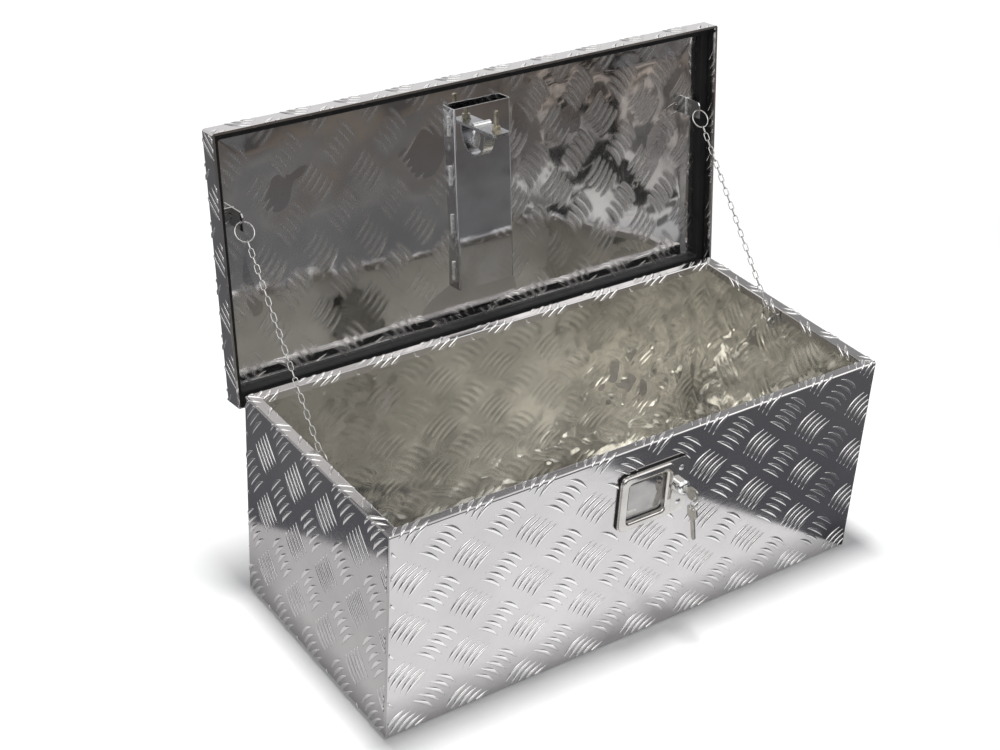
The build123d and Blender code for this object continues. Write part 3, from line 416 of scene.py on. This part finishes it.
def bar_places(length, depth, turned=False, shift=(0.0, 0.0)):
    """Each bar's middle, direction and bow over a sheet of this length and depth."""
    found = []
    pitch = (PITCH_T, PITCH_U) if turned else (PITCH_U, PITCH_T)
    for kind in (FIRST, SECOND):
        centre, run, stack, bow = (np.array(kind[k]) for k in ("centre", "run", "stack", "bow"))
        if turned:
            centre, run, stack, bow = (np.array((v[1], -v[0])) for v in (centre, run, stack, bow))
        start = (centre + np.array(shift)) % np.array(pitch)
        for i in range(-1, int(length / pitch[0]) + 2):
            for j in range(-1, int(depth / pitch[1]) + 2):
                middle = start + np.array((i * pitch[0], j * pitch[1]))
                for k in range(BAR_COUNT):
                    place = middle + stack * (k - (BAR_COUNT - 1) / 2)
                    near_u = -BAR_REACH < place[0] < length + BAR_REACH
                    near_t = -BAR_REACH < place[1] < depth + BAR_REACH
                    if near_u and near_t:
                        found.append((place, run / np.linalg.norm(run), bow))
    return found


def bar_solid(height):
    """One bar, lying along the first axis: points (along, across, height) and faces."""
    crown = np.linspace(0.14, 0.86, 6) * math.pi
    section = [(-1.0, BAR_FOOT)]
    section += [(-math.cos(a), math.sin(a) ** CROWN_POWER) for a in crown]
    section += [(1.0, BAR_FOOT)]
    points, faces = [], []
    for s in np.linspace(-1, 1, STATIONS):
        half = BAR_WIDTH / 2 * max(1 - abs(s) ** WIDTH_POWER, TIP_WIDTH)
        tall = height * max(1 - abs(s) ** HEIGHT_POWER, TIP_HEIGHT)
        curve = BAR_BOW * (1 - s * s) - BAR_BOW / 2
        for across, up in section:
            points.append((s * BAR_LENGTH / 2, curve + across * half, up * tall))
    ring = len(section)
    for i in range(STATIONS - 1):
        for k in range(ring):
            a, b = i * ring + k, i * ring + (k + 1) % ring
            faces.append((a, b, b + ring, a + ring))
    faces.append(tuple(range(ring)))
    faces.append(tuple(reversed(range((STATIONS - 1) * ring, STATIONS * ring))))
    return np.array(points), faces


def bow_side(way, bow):
    """The direction across a bar, on the side that it bows to."""
    side = np.array((-way[1], way[0]))
    return -side if side @ bow < 0 else side


def fold(points, radii):
    """A sheet folded along an outline: turns distances along it into places and outward normals."""
    corners = [np.array(p, dtype=float) for p in points]
    runs = [(b - a) / np.linalg.norm(b - a) for a, b in zip(corners, corners[1:])]
    steps, at = [], corners[0]
    for i, run in enumerate(runs):
        last = i == len(runs) - 1
        end = corners[i + 1] if last else corners[i + 1] - run * radii[i]
        steps.append(("run", at, run, np.linalg.norm(end - at)))
        if not last:
            steps.append(("bend", end, (run, runs[i + 1]), math.pi / 2 * radii[i], radii[i]))
            at = end + (run + runs[i + 1]) * radii[i]

    def follow(distance):
        place = np.zeros((len(distance), 2))
        normal = np.zeros((len(distance), 2))
        start = 0.0
        for number, step in enumerate(steps):
            first_step, final_step = number == 0, number == len(steps) - 1
            chosen = ((distance >= start) | first_step) & ((distance < start + step[3]) | final_step)
            along = distance[chosen] - start
            if step[0] == "run":
                place[chosen] = step[1] + np.outer(along, step[2])
                normal[chosen] = (-step[2][1], step[2][0])
            else:
                first, second = step[2]
                angle = along / step[4]
                place[chosen] = (
                    step[1]
                    + np.outer(np.sin(angle), first) * step[4]
                    + np.outer(1 - np.cos(angle), second) * step[4]
                )
                way = np.outer(np.cos(angle), first) + np.outer(np.sin(angle), second)
                normal[chosen] = np.stack((-way[:, 1], way[:, 0]), 1)
            start += step[3]
        return place, normal

    return follow


def tread(name, body, bars, height, limits, place):
    """Raised bars as one piece: laid out flat, cut at the limits, then folded into place.

    A limit (a, b, c) keeps the flat points (u, t) with a * u + b * t below c.
    """
    template, template_faces = bar_solid(height)
    points, faces = [], []
    for middle, way, bow in bars:
        side = bow_side(way, bow)
        flat = middle + np.outer(template[:, 0], way) + np.outer(template[:, 1], side)
        if not all((flat[:, 0] * a + flat[:, 1] * b).min() < c for a, b, c in limits):
            continue
        base = len(points)
        points.extend(np.column_stack((flat, template[:, 2])).tolist())
        mirrored = np.cross(way, side) < 0
        for face in template_faces:
            loop = [base + v for v in face]
            faces.append(loop if mirrored else loop[::-1])
    mesh = bpy.data.meshes.new(name)
    mesh.from_pydata(points, [], faces)
    work = bmesh.new()
    work.from_mesh(mesh)
    for a, b, c in limits:
        size = math.hypot(a, b)
        cut = bmesh.ops.bisect_plane(
            work, geom=work.verts[:] + work.edges[:] + work.faces[:], dist=1e-5,
            plane_co=(a * c / size**2, b * c / size**2, 0), plane_no=(a, b, 0), clear_outer=True,
        )
        edges = [e for e in cut["geom_cut"] if isinstance(e, bmesh.types.BMEdge)]
        bmesh.ops.holes_fill(work, edges=edges, sides=0)
    bmesh.ops.recalc_face_normals(work, faces=work.faces[:])
    flat = np.array([v.co[:] for v in work.verts])
    work.verts.index_update()
    solid = [[v.index for v in f.verts] for f in work.faces]
    work.free()
    bpy.data.meshes.remove(mesh)
    piece(name, place(flat), solid, body, BARS_PAINTED_HIGHLIGHT)


def wall_place(outward, along, distance, length, rim):
    """Where a flat point of a body wall's sheet lies once the wall and its rim are folded."""
    outline = [
        (distance - rim, BODY_HEIGHT - RIM_LIP), (distance - rim, BODY_HEIGHT),
        (distance, BODY_HEIGHT), (distance, 0),
    ]
    follow = fold(outline, [RIM_BEND, BEND])
    bends = math.pi / 2 * (RIM_BEND + BEND)
    lead = (RIM_LIP - RIM_BEND) + (rim - RIM_BEND - BEND) + bends - BEND

    def place(flat):
        spot, normal = follow(flat[:, 1] + lead)
        out = spot[:, 0] + normal[:, 0] * flat[:, 2]
        up = spot[:, 1] + normal[:, 1] * flat[:, 2]
        run = flat[:, 0] - length / 2
        return np.column_stack((
            outward[0] * out + along[0] * run, outward[1] * out + along[1] * run, up,
        ))

    return place, -lead


# Each wall's outward and lengthwise directions, distance out, length, and own and next rims' widths
WALLS = {
    "front": ((0, -1), (1, 0), BODY_WIDTH / 2, BODY_LENGTH, RIM_FRONT, RIM_SIDE),
    "rear": ((0, 1), (-1, 0), BODY_WIDTH / 2, BODY_LENGTH, RIM_FRONT, RIM_SIDE),
    "left": ((-1, 0), (0, -1), BODY_LENGTH / 2, BODY_WIDTH, RIM_SIDE, RIM_FRONT),
    "right": ((1, 0), (0, 1), BODY_LENGTH / 2, BODY_WIDTH, RIM_SIDE, RIM_FRONT),
}

# Where the pattern starts on the side walls, how far the bars stay from a wall's ends, rim lip and
# foot, how far they pass its rim's mitre, and how high they are on the walls and on the lid
SIDE_SHIFT = (-14, 173)
END_GAP, RIM_GAP, FOOT_GAP, MITRE_GAP = 0.3, 1.0, 0.5, 1.0
WALL_BAR, LID_BAR = 1.5, 1.2
for side, (outward, along, distance, length, rim, other) in WALLS.items():
    place, top = wall_place(outward, along, distance, length, rim)
    turned = side in ("left", "right")
    bars = bar_places(length, BODY_HEIGHT, turned, SIDE_SHIFT if turned else (0, 0))
    if side == "front":
        low_x, high_x, low_z, high_z = LATCH_BOX
        bars = [
            (middle, way, bow) for middle, way, bow in bars
            if not (low_x < middle[0] - length / 2 < high_x and low_z < BODY_HEIGHT - middle[1] < high_z)
        ]
    slope = other / rim
    mitre = slope * (2 * BEND - math.pi / 2 * BEND)
    limits = [
        (-1, 0, -(BEND + END_GAP)), (1, 0, length - BEND - END_GAP),
        (0, -1, -(top + RIM_GAP)), (0, 1, BODY_HEIGHT - BEND - FOOT_GAP),
        (1, -slope, length - mitre + MITRE_GAP), (-1, -slope, -mitre + MITRE_GAP),
    ]
    tread(f"tread_{side}", "box", bars, WALL_BAR, limits, place)

# Lid: the panel with its front and rear skirts, the end skirts and the hem's inner faces, where the
# pattern starts on the panel and how far its bars stay from the ends and edges of panel and strips
LID_SHIFT, LID_GAPS, STRIP_GAP = (20.0, 12.0), (3.3, 0.8), 0.9
lid_width = LID_REAR - LID_FRONT
lid_depth = LID_TOP - LID_BOTTOM
lid_lead = lid_depth - BEND + math.pi / 2 * BEND - BEND
lid_outline = [(LID_FRONT, LID_BOTTOM), (LID_FRONT, LID_TOP), (LID_REAR, LID_TOP), (LID_REAR, LID_BOTTOM)]
lid_follow = fold(lid_outline, [BEND, BEND])


def within(length, depth, end, edge):
    """Limits that keep bars this far from a sheet's two ends and two edges."""
    return [(-1, 0, -end), (1, 0, length - end), (0, -1, -edge), (0, 1, depth - edge)]


def lid_place(flat):
    """Where a flat point of the lid's panel and skirts lies on the open lid."""
    spot, normal = lid_follow(flat[:, 1])
    points = np.column_stack((
        flat[:, 0] - LID_LENGTH / 2,
        spot[:, 0] + normal[:, 0] * flat[:, 2],
        spot[:, 1] + normal[:, 1] * flat[:, 2],
    ))
    return carried(points)


lid_sheet = 2 * lid_lead + lid_width
lid_bars = bar_places(LID_LENGTH, lid_sheet, True, LID_SHIFT)
tread("tread_lid", "lid", lid_bars, LID_BAR, within(LID_LENGTH, lid_sheet, *LID_GAPS), lid_place)


def strip_place(origin, along, up, outward):
    """Where a flat point of a strip of the lid lies, from its corner, two axes and outward normal."""
    origin, along, up, outward = (np.array(v, dtype=float) for v in (origin, along, up, outward))

    def place(flat):
        return carried(
            origin + np.outer(flat[:, 0], along) + np.outer(flat[:, 1], up) + np.outer(flat[:, 2], outward)
        )

    return place


# Strips of the lid: corner, lengthwise and outward directions, then length, depth, end gap and bars'
# height, and where the pattern starts. The hem's inner face lies two sheets inside the lid.
hem_in = 2 * SHEET
lid_end, hem_end = LID_LENGTH / 2, LID_LENGTH / 2 - hem_in
hem_top = LID_BOTTOM + HEM_HEIGHT
SKIRT = (lid_width, lid_depth, 3.2, 0.9)
HEM = (lid_width, HEM_HEIGHT, 3.4, 0.5)
LONG_HEM = (LID_LENGTH, HEM_HEIGHT, 3.4, 0.5)
STRIPS = {
    "skirt_left": ((-lid_end, LID_REAR, LID_TOP), (0, -1, 0), (-1, 0, 0), SKIRT, (20, 9)),
    "skirt_right": ((lid_end, LID_FRONT, LID_TOP), (0, 1, 0), (1, 0, 0), SKIRT, (6, 60)),
    "hem_left": ((-hem_end, LID_FRONT, hem_top), (0, 1, 0), (1, 0, 0), HEM, (20, 38)),
    "hem_right": ((hem_end, LID_REAR, hem_top), (0, -1, 0), (-1, 0, 0), HEM, (9, 30)),
    "hem_front": ((lid_end, LID_FRONT + hem_in, hem_top), (-1, 0, 0), (0, 1, 0), LONG_HEM, (30, 12)),
}
for name, (corner, along, outward, (length, depth, end, height), shift) in STRIPS.items():
    bars = bar_places(length, depth, True, shift)
    place = strip_place(corner, along, (0, 0, -1), outward)
    tread(f"tread_{name}", "lid", bars, height, within(length, depth, end, STRIP_GAP), place)


# Inner skins: the sheet's reverse, smooth and wavy with the pattern's soft dents.
# A row of ripples has how many there are, the shortest, the longest and how steep they are.
BODY_RIPPLES = ((18, 60.0, 190.0, 0.0009), (24, 18.0, 46.0, 0.0009))
HAMMERED = ((24, 20.0, 44.0, 0.0022),)
LID_RIPPLES = ((16, 90.0, 260.0, 0.0007), (14, 40.0, 80.0, 0.00035))

# The dent behind a bar: how far off it is worked out, how wide it is, and how deep in body and lid
DENT_REACH, DENT_WIDTH = 30.0, 2.7
BODY_DENT, LID_DENT = 0.20, 0.10


def marks_of(u, t, bars):
    """Where the pattern's bars lie over flat points, and their lit and shaded flanks."""
    found, flank = np.zeros_like(u), np.zeros_like(u)
    for middle, way, bow in bars:
        side = bow_side(way, bow)
        du, dt = u - middle[0], t - middle[1]
        near = (np.abs(du) < DENT_REACH) & (np.abs(dt) < DENT_REACH)
        along = (du[near] * way[0] + dt[near] * way[1]) / (BAR_LENGTH / 2)
        across = du[near] * side[0] + dt[near] * side[1]
        offset = across - (BAR_BOW * (1 - along**2) - BAR_BOW / 2)
        taper = np.clip(1 - np.abs(along) ** 3, 0, 1)
        swell = np.exp(-((offset / DENT_WIDTH) ** 2)) * taper
        found[near] += swell
        flank[near] += swell * offset / DENT_WIDTH
    return found, flank


# Patches of painted light and shade on the inside: middle and reach along and down the wall, then how
# much brighter, as painted light, and more hammered, or darker, as painted shade, where it is below zero
PAINTED_LIGHT_AND_HAMMER_PATCHES = {
    "rear": (
        (660.0, 150.0, 130.0, 90.0, 1.5), (470.0, 190.0, 120.0, 90.0, 0.3),
        (60.0, 150.0, 300.0, 260.0, -1.5),
    ),
    "right": ((90.0, 130.0, 120.0, 120.0, 0.4),),
    "left": ((170.0, 150.0, 260.0, 260.0, -0.5),),
    "floor": ((560.0, 200.0, 200.0, 160.0, 0.3),),
}


def painted_light_and_hammer_of(u, t, name):
    """How strongly the patches of painted light and shade, with their hammering, show at each flat point."""
    level = np.zeros_like(u)
    for middle_u, middle_t, reach_u, reach_t, share in PAINTED_LIGHT_AND_HAMMER_PATCHES.get(name, ()):
        far = ((u - middle_u) / reach_u) ** 2 + ((t - middle_t) / reach_t) ** 2
        level += share * np.exp(-far)
    return level


def waves_of(u, t, seed, ripples):
    """The slow waviness of a sheet over flat points, in millimetres."""
    height = np.zeros_like(u)
    draw = np.random.default_rng(seed)
    for count, short, long, steep in ripples:
        for _ in range(count):
            wave = draw.uniform(short, long)
            turn = draw.uniform(0, 2 * math.pi)
            phase = draw.uniform(0, 2 * math.pi)
            slope = (u * math.cos(turn) + t * math.sin(turn)) * 2 * math.pi / wave
            height += steep * wave * np.sin(slope + phase)
    return height


# A skin's mesh step and how far from its edges the relief fades out, in millimetres, how much rougher
# hammering makes it, how much a patch's painted light and shade shifts its tone, and how its seeds are
# numbered
SKIN_STEP, EDGE_FADE = 2.4, 25.0
HAMMERING, PAINTED_PATCH_TONE = 1.6, 0.22
FIRST_SEED, LID_SEED, HAMMER_SEED = 40, 51, 20


def skin(
    name, body, origin, along, down, outward, size, bars, depth, seed, ripples, look,
    closed=False, lift=0.9, painted_flank_share=0.34,
):
    """A wavy sheet just inside a wall, flat at its edges, with painted light and shade on its dents' flanks
    and patches.
    """
    origin, along, down, outward = (np.array(v, dtype=float) for v in (origin, along, down, outward))
    columns_u, rows_t = (max(int(s / SKIN_STEP), 2) for s in size)
    u, t = np.meshgrid(np.linspace(0, size[0], columns_u + 1), np.linspace(0, size[1], rows_t + 1))
    flat_u, flat_t = u.ravel(), t.ravel()
    marks, flank = marks_of(flat_u, flat_t, bars)
    # Painted light and shade of the patches, which also sets how hammered they are
    level = painted_light_and_hammer_of(flat_u, flat_t, name.removeprefix("skin_"))
    rough = 1 + HAMMERING * np.clip(level, 0, 1)
    height = depth * marks * rough + waves_of(flat_u, flat_t, seed, ripples)
    height += (rough - 1) * waves_of(flat_u, flat_t, seed + HAMMER_SEED, HAMMERED)
    edge = np.minimum.reduce([flat_u, flat_t, size[0] - flat_u, size[1] - flat_t])
    height = lift + height * np.clip(edge / EDGE_FADE, 0, 1)
    points = origin + np.outer(flat_u, along) + np.outer(flat_t, down) + np.outer(height, outward)
    if closed:
        points = carried(points)
    row = columns_u + 1
    cells = np.arange(row * (rows_t + 1)).reshape(rows_t + 1, row)
    quads = np.stack((cells[:-1, :-1], cells[:-1, 1:], cells[1:, 1:], cells[1:, :-1]), -1).reshape(-1, 4)
    if np.dot(np.cross(along, down), outward) < 0:
        quads = quads[:, ::-1]
    obj = piece(name, points, quads.tolist(), body, look)
    # Painted light and shade: each dent's one flank lighter and the other darker, and the patches brighter
    # or darker
    values = {"marks": np.clip(marks, 0, 1), "shade": painted_flank_share * flank + PAINTED_PATCH_TONE * level}
    for title, value in values.items():
        obj.data.attributes.new(title, "FLOAT", "POINT").data.foreach_set("value", value)


# The body's skins: corner, directions along, down and outward, size, whether the pattern is turned,
# and its start
in_x, in_y, wall_top = BODY_LENGTH / 2 - SHEET, BODY_WIDTH / 2 - SHEET, BODY_HEIGHT - SHEET
wall_drop = wall_top - SHEET
LONG, SHORT, BASE = (2 * in_x, wall_drop), (2 * in_y, wall_drop), (2 * in_x, 2 * in_y)
SKINS = {
    "front": ((in_x, -in_y, wall_top), (-1, 0, 0), (0, 0, -1), (0, 1, 0), LONG, False, (0, 0)),
    "rear": ((-in_x, in_y, wall_top), (1, 0, 0), (0, 0, -1), (0, -1, 0), LONG, False, (0, 0)),
    "left": ((-in_x, -in_y, wall_top), (0, 1, 0), (0, 0, -1), (1, 0, 0), SHORT, True, (0, 0)),
    "right": ((in_x, in_y, wall_top), (0, -1, 0), (0, 0, -1), (-1, 0, 0), SHORT, True, (0, 0)),
    "floor": ((-in_x, -in_y, SHEET), (1, 0, 0), (0, 1, 0), (0, 0, 1), BASE, False, (11, 30)),
}
for number, (name, (origin, along, down, outward, size, turned, shift)) in enumerate(SKINS.items()):
    look = FRONT_SKIN_PAINTED_LIGHT if name == "front" else SKIN
    skin(
        f"skin_{name}", "box", origin, along, down, outward, size, bar_places(*size, turned, shift),
        BODY_DENT, FIRST_SEED + number, BODY_RIPPLES, look,
    )

# The lid's skin, inside the seal and nearer to the sheet
seal_in = 15.5
skin(
    "skin_lid", "lid", (LID_LENGTH / 2 - seal_in, LID_FRONT + seal_in, PANEL_INSIDE),
    (-1, 0, 0), (0, 1, 0), (0, 0, -1), (LID_LENGTH - 2 * seal_in, lid_width - 2 * seal_in),
    bar_places(LID_LENGTH, lid_width, True, (25.0, 20.0)), LID_DENT, LID_SEED, LID_RIPPLES, LID_SKIN,
    closed=True, lift=0.4, painted_flank_share=0.15,
)

# Studio


def plain(name, colour):
    """A dull surface, very slightly uneven."""
    made, nodes, links, shader = material(name)
    clouds = noise(nodes, links, 3.0)
    shade = two_tone(nodes, links, clouds.outputs["Fac"], colour, tuple(c * 0.99 for c in colour))
    links.new(shade.outputs["Color"], shader.inputs["Base Color"])
    matt(shader, 0.9)
    return made


def stage_sheet(name, corners, look, seen=False):
    """A flat sheet of the stage, which only reflections show unless it is to be seen."""
    mesh = bpy.data.meshes.new(name)
    mesh.from_pydata([tuple(c) for c in corners], [], [tuple(range(len(corners)))])
    mesh.materials.append(look)
    obj = bpy.data.objects.new(name, mesh)
    bpy.context.collection.objects.link(obj)
    if not seen:
        obj.visible_camera = False
        obj.visible_diffuse = False
        obj.visible_shadow = False
        obj.visible_transmission = False


# How many times brighter the brightest sector of painted light on the far floor is than its plain tone
STRONGEST = 4.5

# Sectors of painted light and shade on the far floor: where they meet, the angles that they lie between,
# how ragged their edges are, and each one's place and brightness
SECTOR_CENTRE = (-1.5, 2.4, 0)
SECTOR_ANGLES = (math.radians(-60.0), math.radians(-48.0))
SECTOR_RAGGED = 0.028
SECTORS = [
    (0.0, 1.0), (0.40, 0.9), (0.44, 0.3), (0.47, 3.8), (0.51, 3.2), (0.53, 0.15), (0.67, 0.1),
    (0.70, 3.8), (0.78, 3.2), (0.82, 0.5), (0.95, 1.7),
]

# The dark floor's tones from the box out to its reach, how ragged they are, and between which
# distances the sectors begin to show, in metres
CARD_REACH, CARD_RAGGED, SECTORS_BEGIN = 5.0, 0.5, (0.9, 1.3)
CARD_TONES = [
    (0.13, (0.11, 0.11, 0.123)), (0.24, (0.15, 0.15, 0.157)), (0.36, (0.23, 0.225, 0.22)),
    (0.48, (0.18, 0.17, 0.165)), (0.62, (0.25, 0.21, 0.18)), (0.8, (0.16, 0.145, 0.14)),
]

# The white floor's glow near the box and far off, and between which distances it rises, in metres
FLOOR_GLOW, FLOOR_RISE = (0.10, 1.0), (1.4, 4.5)


def from_middle(nodes, links):
    """The place of each point, and its distance from the middle of the box's underside."""
    place = nodes.new("ShaderNodeTexCoord").outputs["Object"]
    far = nodes.new("ShaderNodeVectorMath")
    far.operation = "LENGTH"
    links.new(place, far.inputs[0])
    return place, far.outputs["Value"]


def columns(nodes, links, place):
    """Painted light and shade: bright and dark sectors of the far floor, as seen from the lid."""
    shifted = nodes.new("ShaderNodeVectorMath")
    shifted.operation = "SUBTRACT"
    shifted.inputs[1].default_value = SECTOR_CENTRE
    links.new(place, shifted.inputs[0])
    parts = nodes.new("ShaderNodeSeparateXYZ")
    links.new(shifted.outputs["Vector"], parts.inputs["Vector"])
    angle = combine(nodes, links, "ARCTAN2", parts.outputs["Y"], parts.outputs["X"])
    clouds = noise(nodes, links, 3.4, detail=2.0, distortion=0.6)
    ragged = span(nodes, links, clouds.outputs["Fac"], -SECTOR_RAGGED, SECTOR_RAGGED)
    total = combine(nodes, links, "ADD", angle, ragged.outputs["Result"])
    share = span(nodes, links, total, 0.0, 1.0, *SECTOR_ANGLES)
    return ramp(nodes, links, share.outputs["Result"], [(at, grey(v / STRONGEST)) for at, v in SECTORS])


def card_look(name):
    """A dark floor beside the box, greyer and browner further off, that only reflections show."""
    made, nodes, links, shader = material(name)
    place, far = from_middle(nodes, links)
    clouds = noise(nodes, links, 1.1, detail=3.0)
    ragged = span(nodes, links, clouds.outputs["Fac"], -CARD_RAGGED, CARD_RAGGED)
    total = combine(nodes, links, "ADD", far, ragged.outputs["Result"])
    share = span(nodes, links, total, 0.0, 1.0, 0.0, CARD_REACH)
    shade = ramp(nodes, links, share.outputs["Result"], CARD_TONES)
    # Painted light and shade: the far floor's bright and dark sectors
    sectors = columns(nodes, links, place)
    near = span(nodes, links, far, 1.0, 0.0, *SECTORS_BEGIN)
    steady = nodes.new("ShaderNodeMix")
    steady.data_type = "RGBA"
    steady.inputs["B"].default_value = (*grey(1 / STRONGEST), 1)
    links.new(near.outputs["Result"], steady.inputs["Factor"])
    links.new(sectors.outputs["Color"], steady.inputs["A"])
    tinted = nodes.new("ShaderNodeVectorMath")
    tinted.operation = "MULTIPLY"
    links.new(shade.outputs["Color"], tinted.inputs[0])
    links.new(steady.outputs["Result"], tinted.inputs[1])
    raised = nodes.new("ShaderNodeVectorMath")
    raised.operation = "SCALE"
    raised.inputs["Scale"].default_value = STRONGEST
    links.new(tinted.outputs["Vector"], raised.inputs[0])
    links.new(raised.outputs["Vector"], shader.inputs["Base Color"])
    matt(shader, 0.95)
    return made


def floor_look():
    """A white floor that keeps the box's shadow and turns to plain white further off."""
    made, nodes, links, shader = material("floor")
    clouds = noise(nodes, links, 2.0)
    shade = two_tone(nodes, links, clouds.outputs["Fac"], grey(0.93), grey(0.95))
    links.new(shade.outputs["Color"], shader.inputs["Base Color"])
    matt(shader, 0.95)
    _, far = from_middle(nodes, links)
    rising = span(nodes, links, far, *FLOOR_GLOW, *FLOOR_RISE)
    glow = combine(nodes, links, "MULTIPLY", seen_rays(nodes, links), rising.outputs["Result"])
    shader.inputs["Emission Color"].default_value = (1, 1, 1, 1)
    links.new(glow, shader.inputs["Emission Strength"])
    return made


def seen_rays(nodes, links):
    """One for the camera's rays and for what metal and glass show, and zero for all others."""
    path = nodes.new("ShaderNodeLightPath")
    shown = path.outputs["Is Camera Ray"]
    for kind in ("Is Glossy Ray", "Is Transmission Ray"):
        shown = combine(nodes, links, "MAXIMUM", shown, path.outputs[kind])
    return shown


def world():
    """White where it is seen or mirrored, and a soft cool light on everything else."""
    made = bpy.data.worlds.new("studio")
    bpy.context.scene.world = made
    made.use_nodes = True
    nodes, links = made.node_tree.nodes, made.node_tree.links
    nodes.clear()
    out = nodes.new("ShaderNodeOutputWorld")
    white = nodes.new("ShaderNodeBackground")
    white.inputs["Color"].default_value = (1, 1, 1, 1)
    white.inputs["Strength"].default_value = 1.0
    soft = nodes.new("ShaderNodeBackground")
    soft.inputs["Color"].default_value = (0.95, 0.97, 1.0, 1)
    soft.inputs["Strength"].default_value = 0.28
    mix = nodes.new("ShaderNodeMixShader")
    links.new(seen_rays(nodes, links), mix.inputs["Fac"])
    links.new(soft.outputs["Background"], mix.inputs[1])
    links.new(white.outputs["Background"], mix.inputs[2])
    links.new(mix.outputs["Shader"], out.inputs["Surface"])


def lamp(name, place, size, power):
    """A soft overhead light, which metal shows only through the glowing cards."""
    data = bpy.data.lights.new(name, "AREA")
    data.shape = "RECTANGLE"
    data.size, data.size_y = size
    data.energy = power
    obj = bpy.data.objects.new(name, data)
    bpy.context.collection.objects.link(obj)
    obj.location = place
    obj.visible_glossy = False


def glow_look(name, strength, colour=(1, 1, 1)):
    """A glowing surface, slightly uneven."""
    made, nodes, links, shader = material(name)
    clouds = noise(nodes, links, 0.8)
    shade = two_tone(nodes, links, clouds.outputs["Fac"], colour, tuple(c * 0.92 for c in colour))
    shader.inputs["Base Color"].default_value = (0, 0, 0, 1)
    matt(shader, 1.0)
    links.new(shade.outputs["Color"], shader.inputs["Emission Color"])
    shader.inputs["Emission Strength"].default_value = strength
    return made


def softbox(name, place, size, strength):
    """A glowing card that faces the box."""
    middle, box = Vector(place), Vector((0, 0, 0.2))
    turn = (box - middle).to_track_quat("-Z", "Y").to_matrix()
    across, up = turn @ Vector((size[0] / 2, 0, 0)), turn @ Vector((0, size[1] / 2, 0))
    corners = [middle - across - up, middle - across + up, middle + across + up, middle + across - up]
    stage_sheet(name, corners, glow_look(name, strength))


def level_card(name, x, y, height, look, seen=False):
    """A level rectangle of the stage, from its ranges of x and y."""
    corners = [(x[0], y[0], height), (x[1], y[0], height), (x[1], y[1], height), (x[0], y[1], height)]
    stage_sheet(name, corners, look, seen)


def edge_card(name, start, end, reach, look):
    """A card from one straight edge, reaching out to one side."""
    stage_sheet(name, [start, start + reach, end + reach, end], look)


world()
level_card("floor", (-8, 8), (-8, 8), 0, floor_look(), seen=True)

# Cards on the floor, whose edges are the lines between light and dark on the box's walls
LOW, HIGH = 0.0006, 0.0012
DARK = card_look("studio_card")
right_way, right_side = Vector((0.459, 0.889, 0)), Vector((0.889, -0.459, 0))
right_edge = Vector((0.199, -0.515, HIGH))
edge_card(
    "card_right", right_edge - right_way * 4.0, right_edge + right_way * 4.0, right_side * 5.0, DARK,
)
left_way = Vector((-0.592, -0.806, 0)).normalized()
left_edge = Vector((-0.450, 0.301, HIGH))
edge_card("card_left", left_edge + left_way, left_edge - left_way * 3.0, right_side * -3.0, DARK)
# A grey card by the left wall, shown only in reflections: painted shade, darkening the floor that the low
# part of the left wall mirrors
level_card("card_near_left_painted_shade", (-1.3, -0.384), (-0.45, 0.7), LOW, plain("studio_grey_painted_shade", (0.62, 0.61, 0.61)))
level_card("card_front_left", (-2.6, -0.35), (-2.4, -0.62), HIGH, DARK)

# Light: glowing cards for the reflections, and one lamp overhead for everything else
stage_sheet(
    "card_back", [(-10, 0.6, 5), (-10, 10, 5), (10, 10, 5), (10, 0.6, 5)], glow_look("studio_ceiling", 0.42),
)
softbox("card_key", (-1.2, -1.0, 2.6), (2.0, 2.0), 2.7)
softbox("card_fill", (1.8, -0.8, 2.0), (1.6, 1.2), 2.1)
lamp("main_light", (-0.175, 0.273, 4.4), (0.55, 0.78), 165.0)

# The room: low dim walls to the front, left and right
ROOM_NEAR, ROOM_FAR, ROOM_HEIGHT = -4.2, 5.0, 1.75
ROOM = {
    "room_front": ((ROOM_NEAR, ROOM_NEAR), (ROOM_FAR, ROOM_NEAR)),
    "room_left": ((ROOM_NEAR, ROOM_FAR), (ROOM_NEAR, ROOM_NEAR)),
    "room_right": ((ROOM_FAR, ROOM_NEAR), (ROOM_FAR, ROOM_FAR)),
}
room_look = glow_look("studio_room", 0.16, (0.95, 0.95, 1.0))
for name, (start, end) in ROOM.items():
    stage_sheet(name, [(*start, 0), (*end, 0), (*end, ROOM_HEIGHT), (*start, ROOM_HEIGHT)], room_look)

bpy.context.scene.view_settings.view_transform = "Standard"
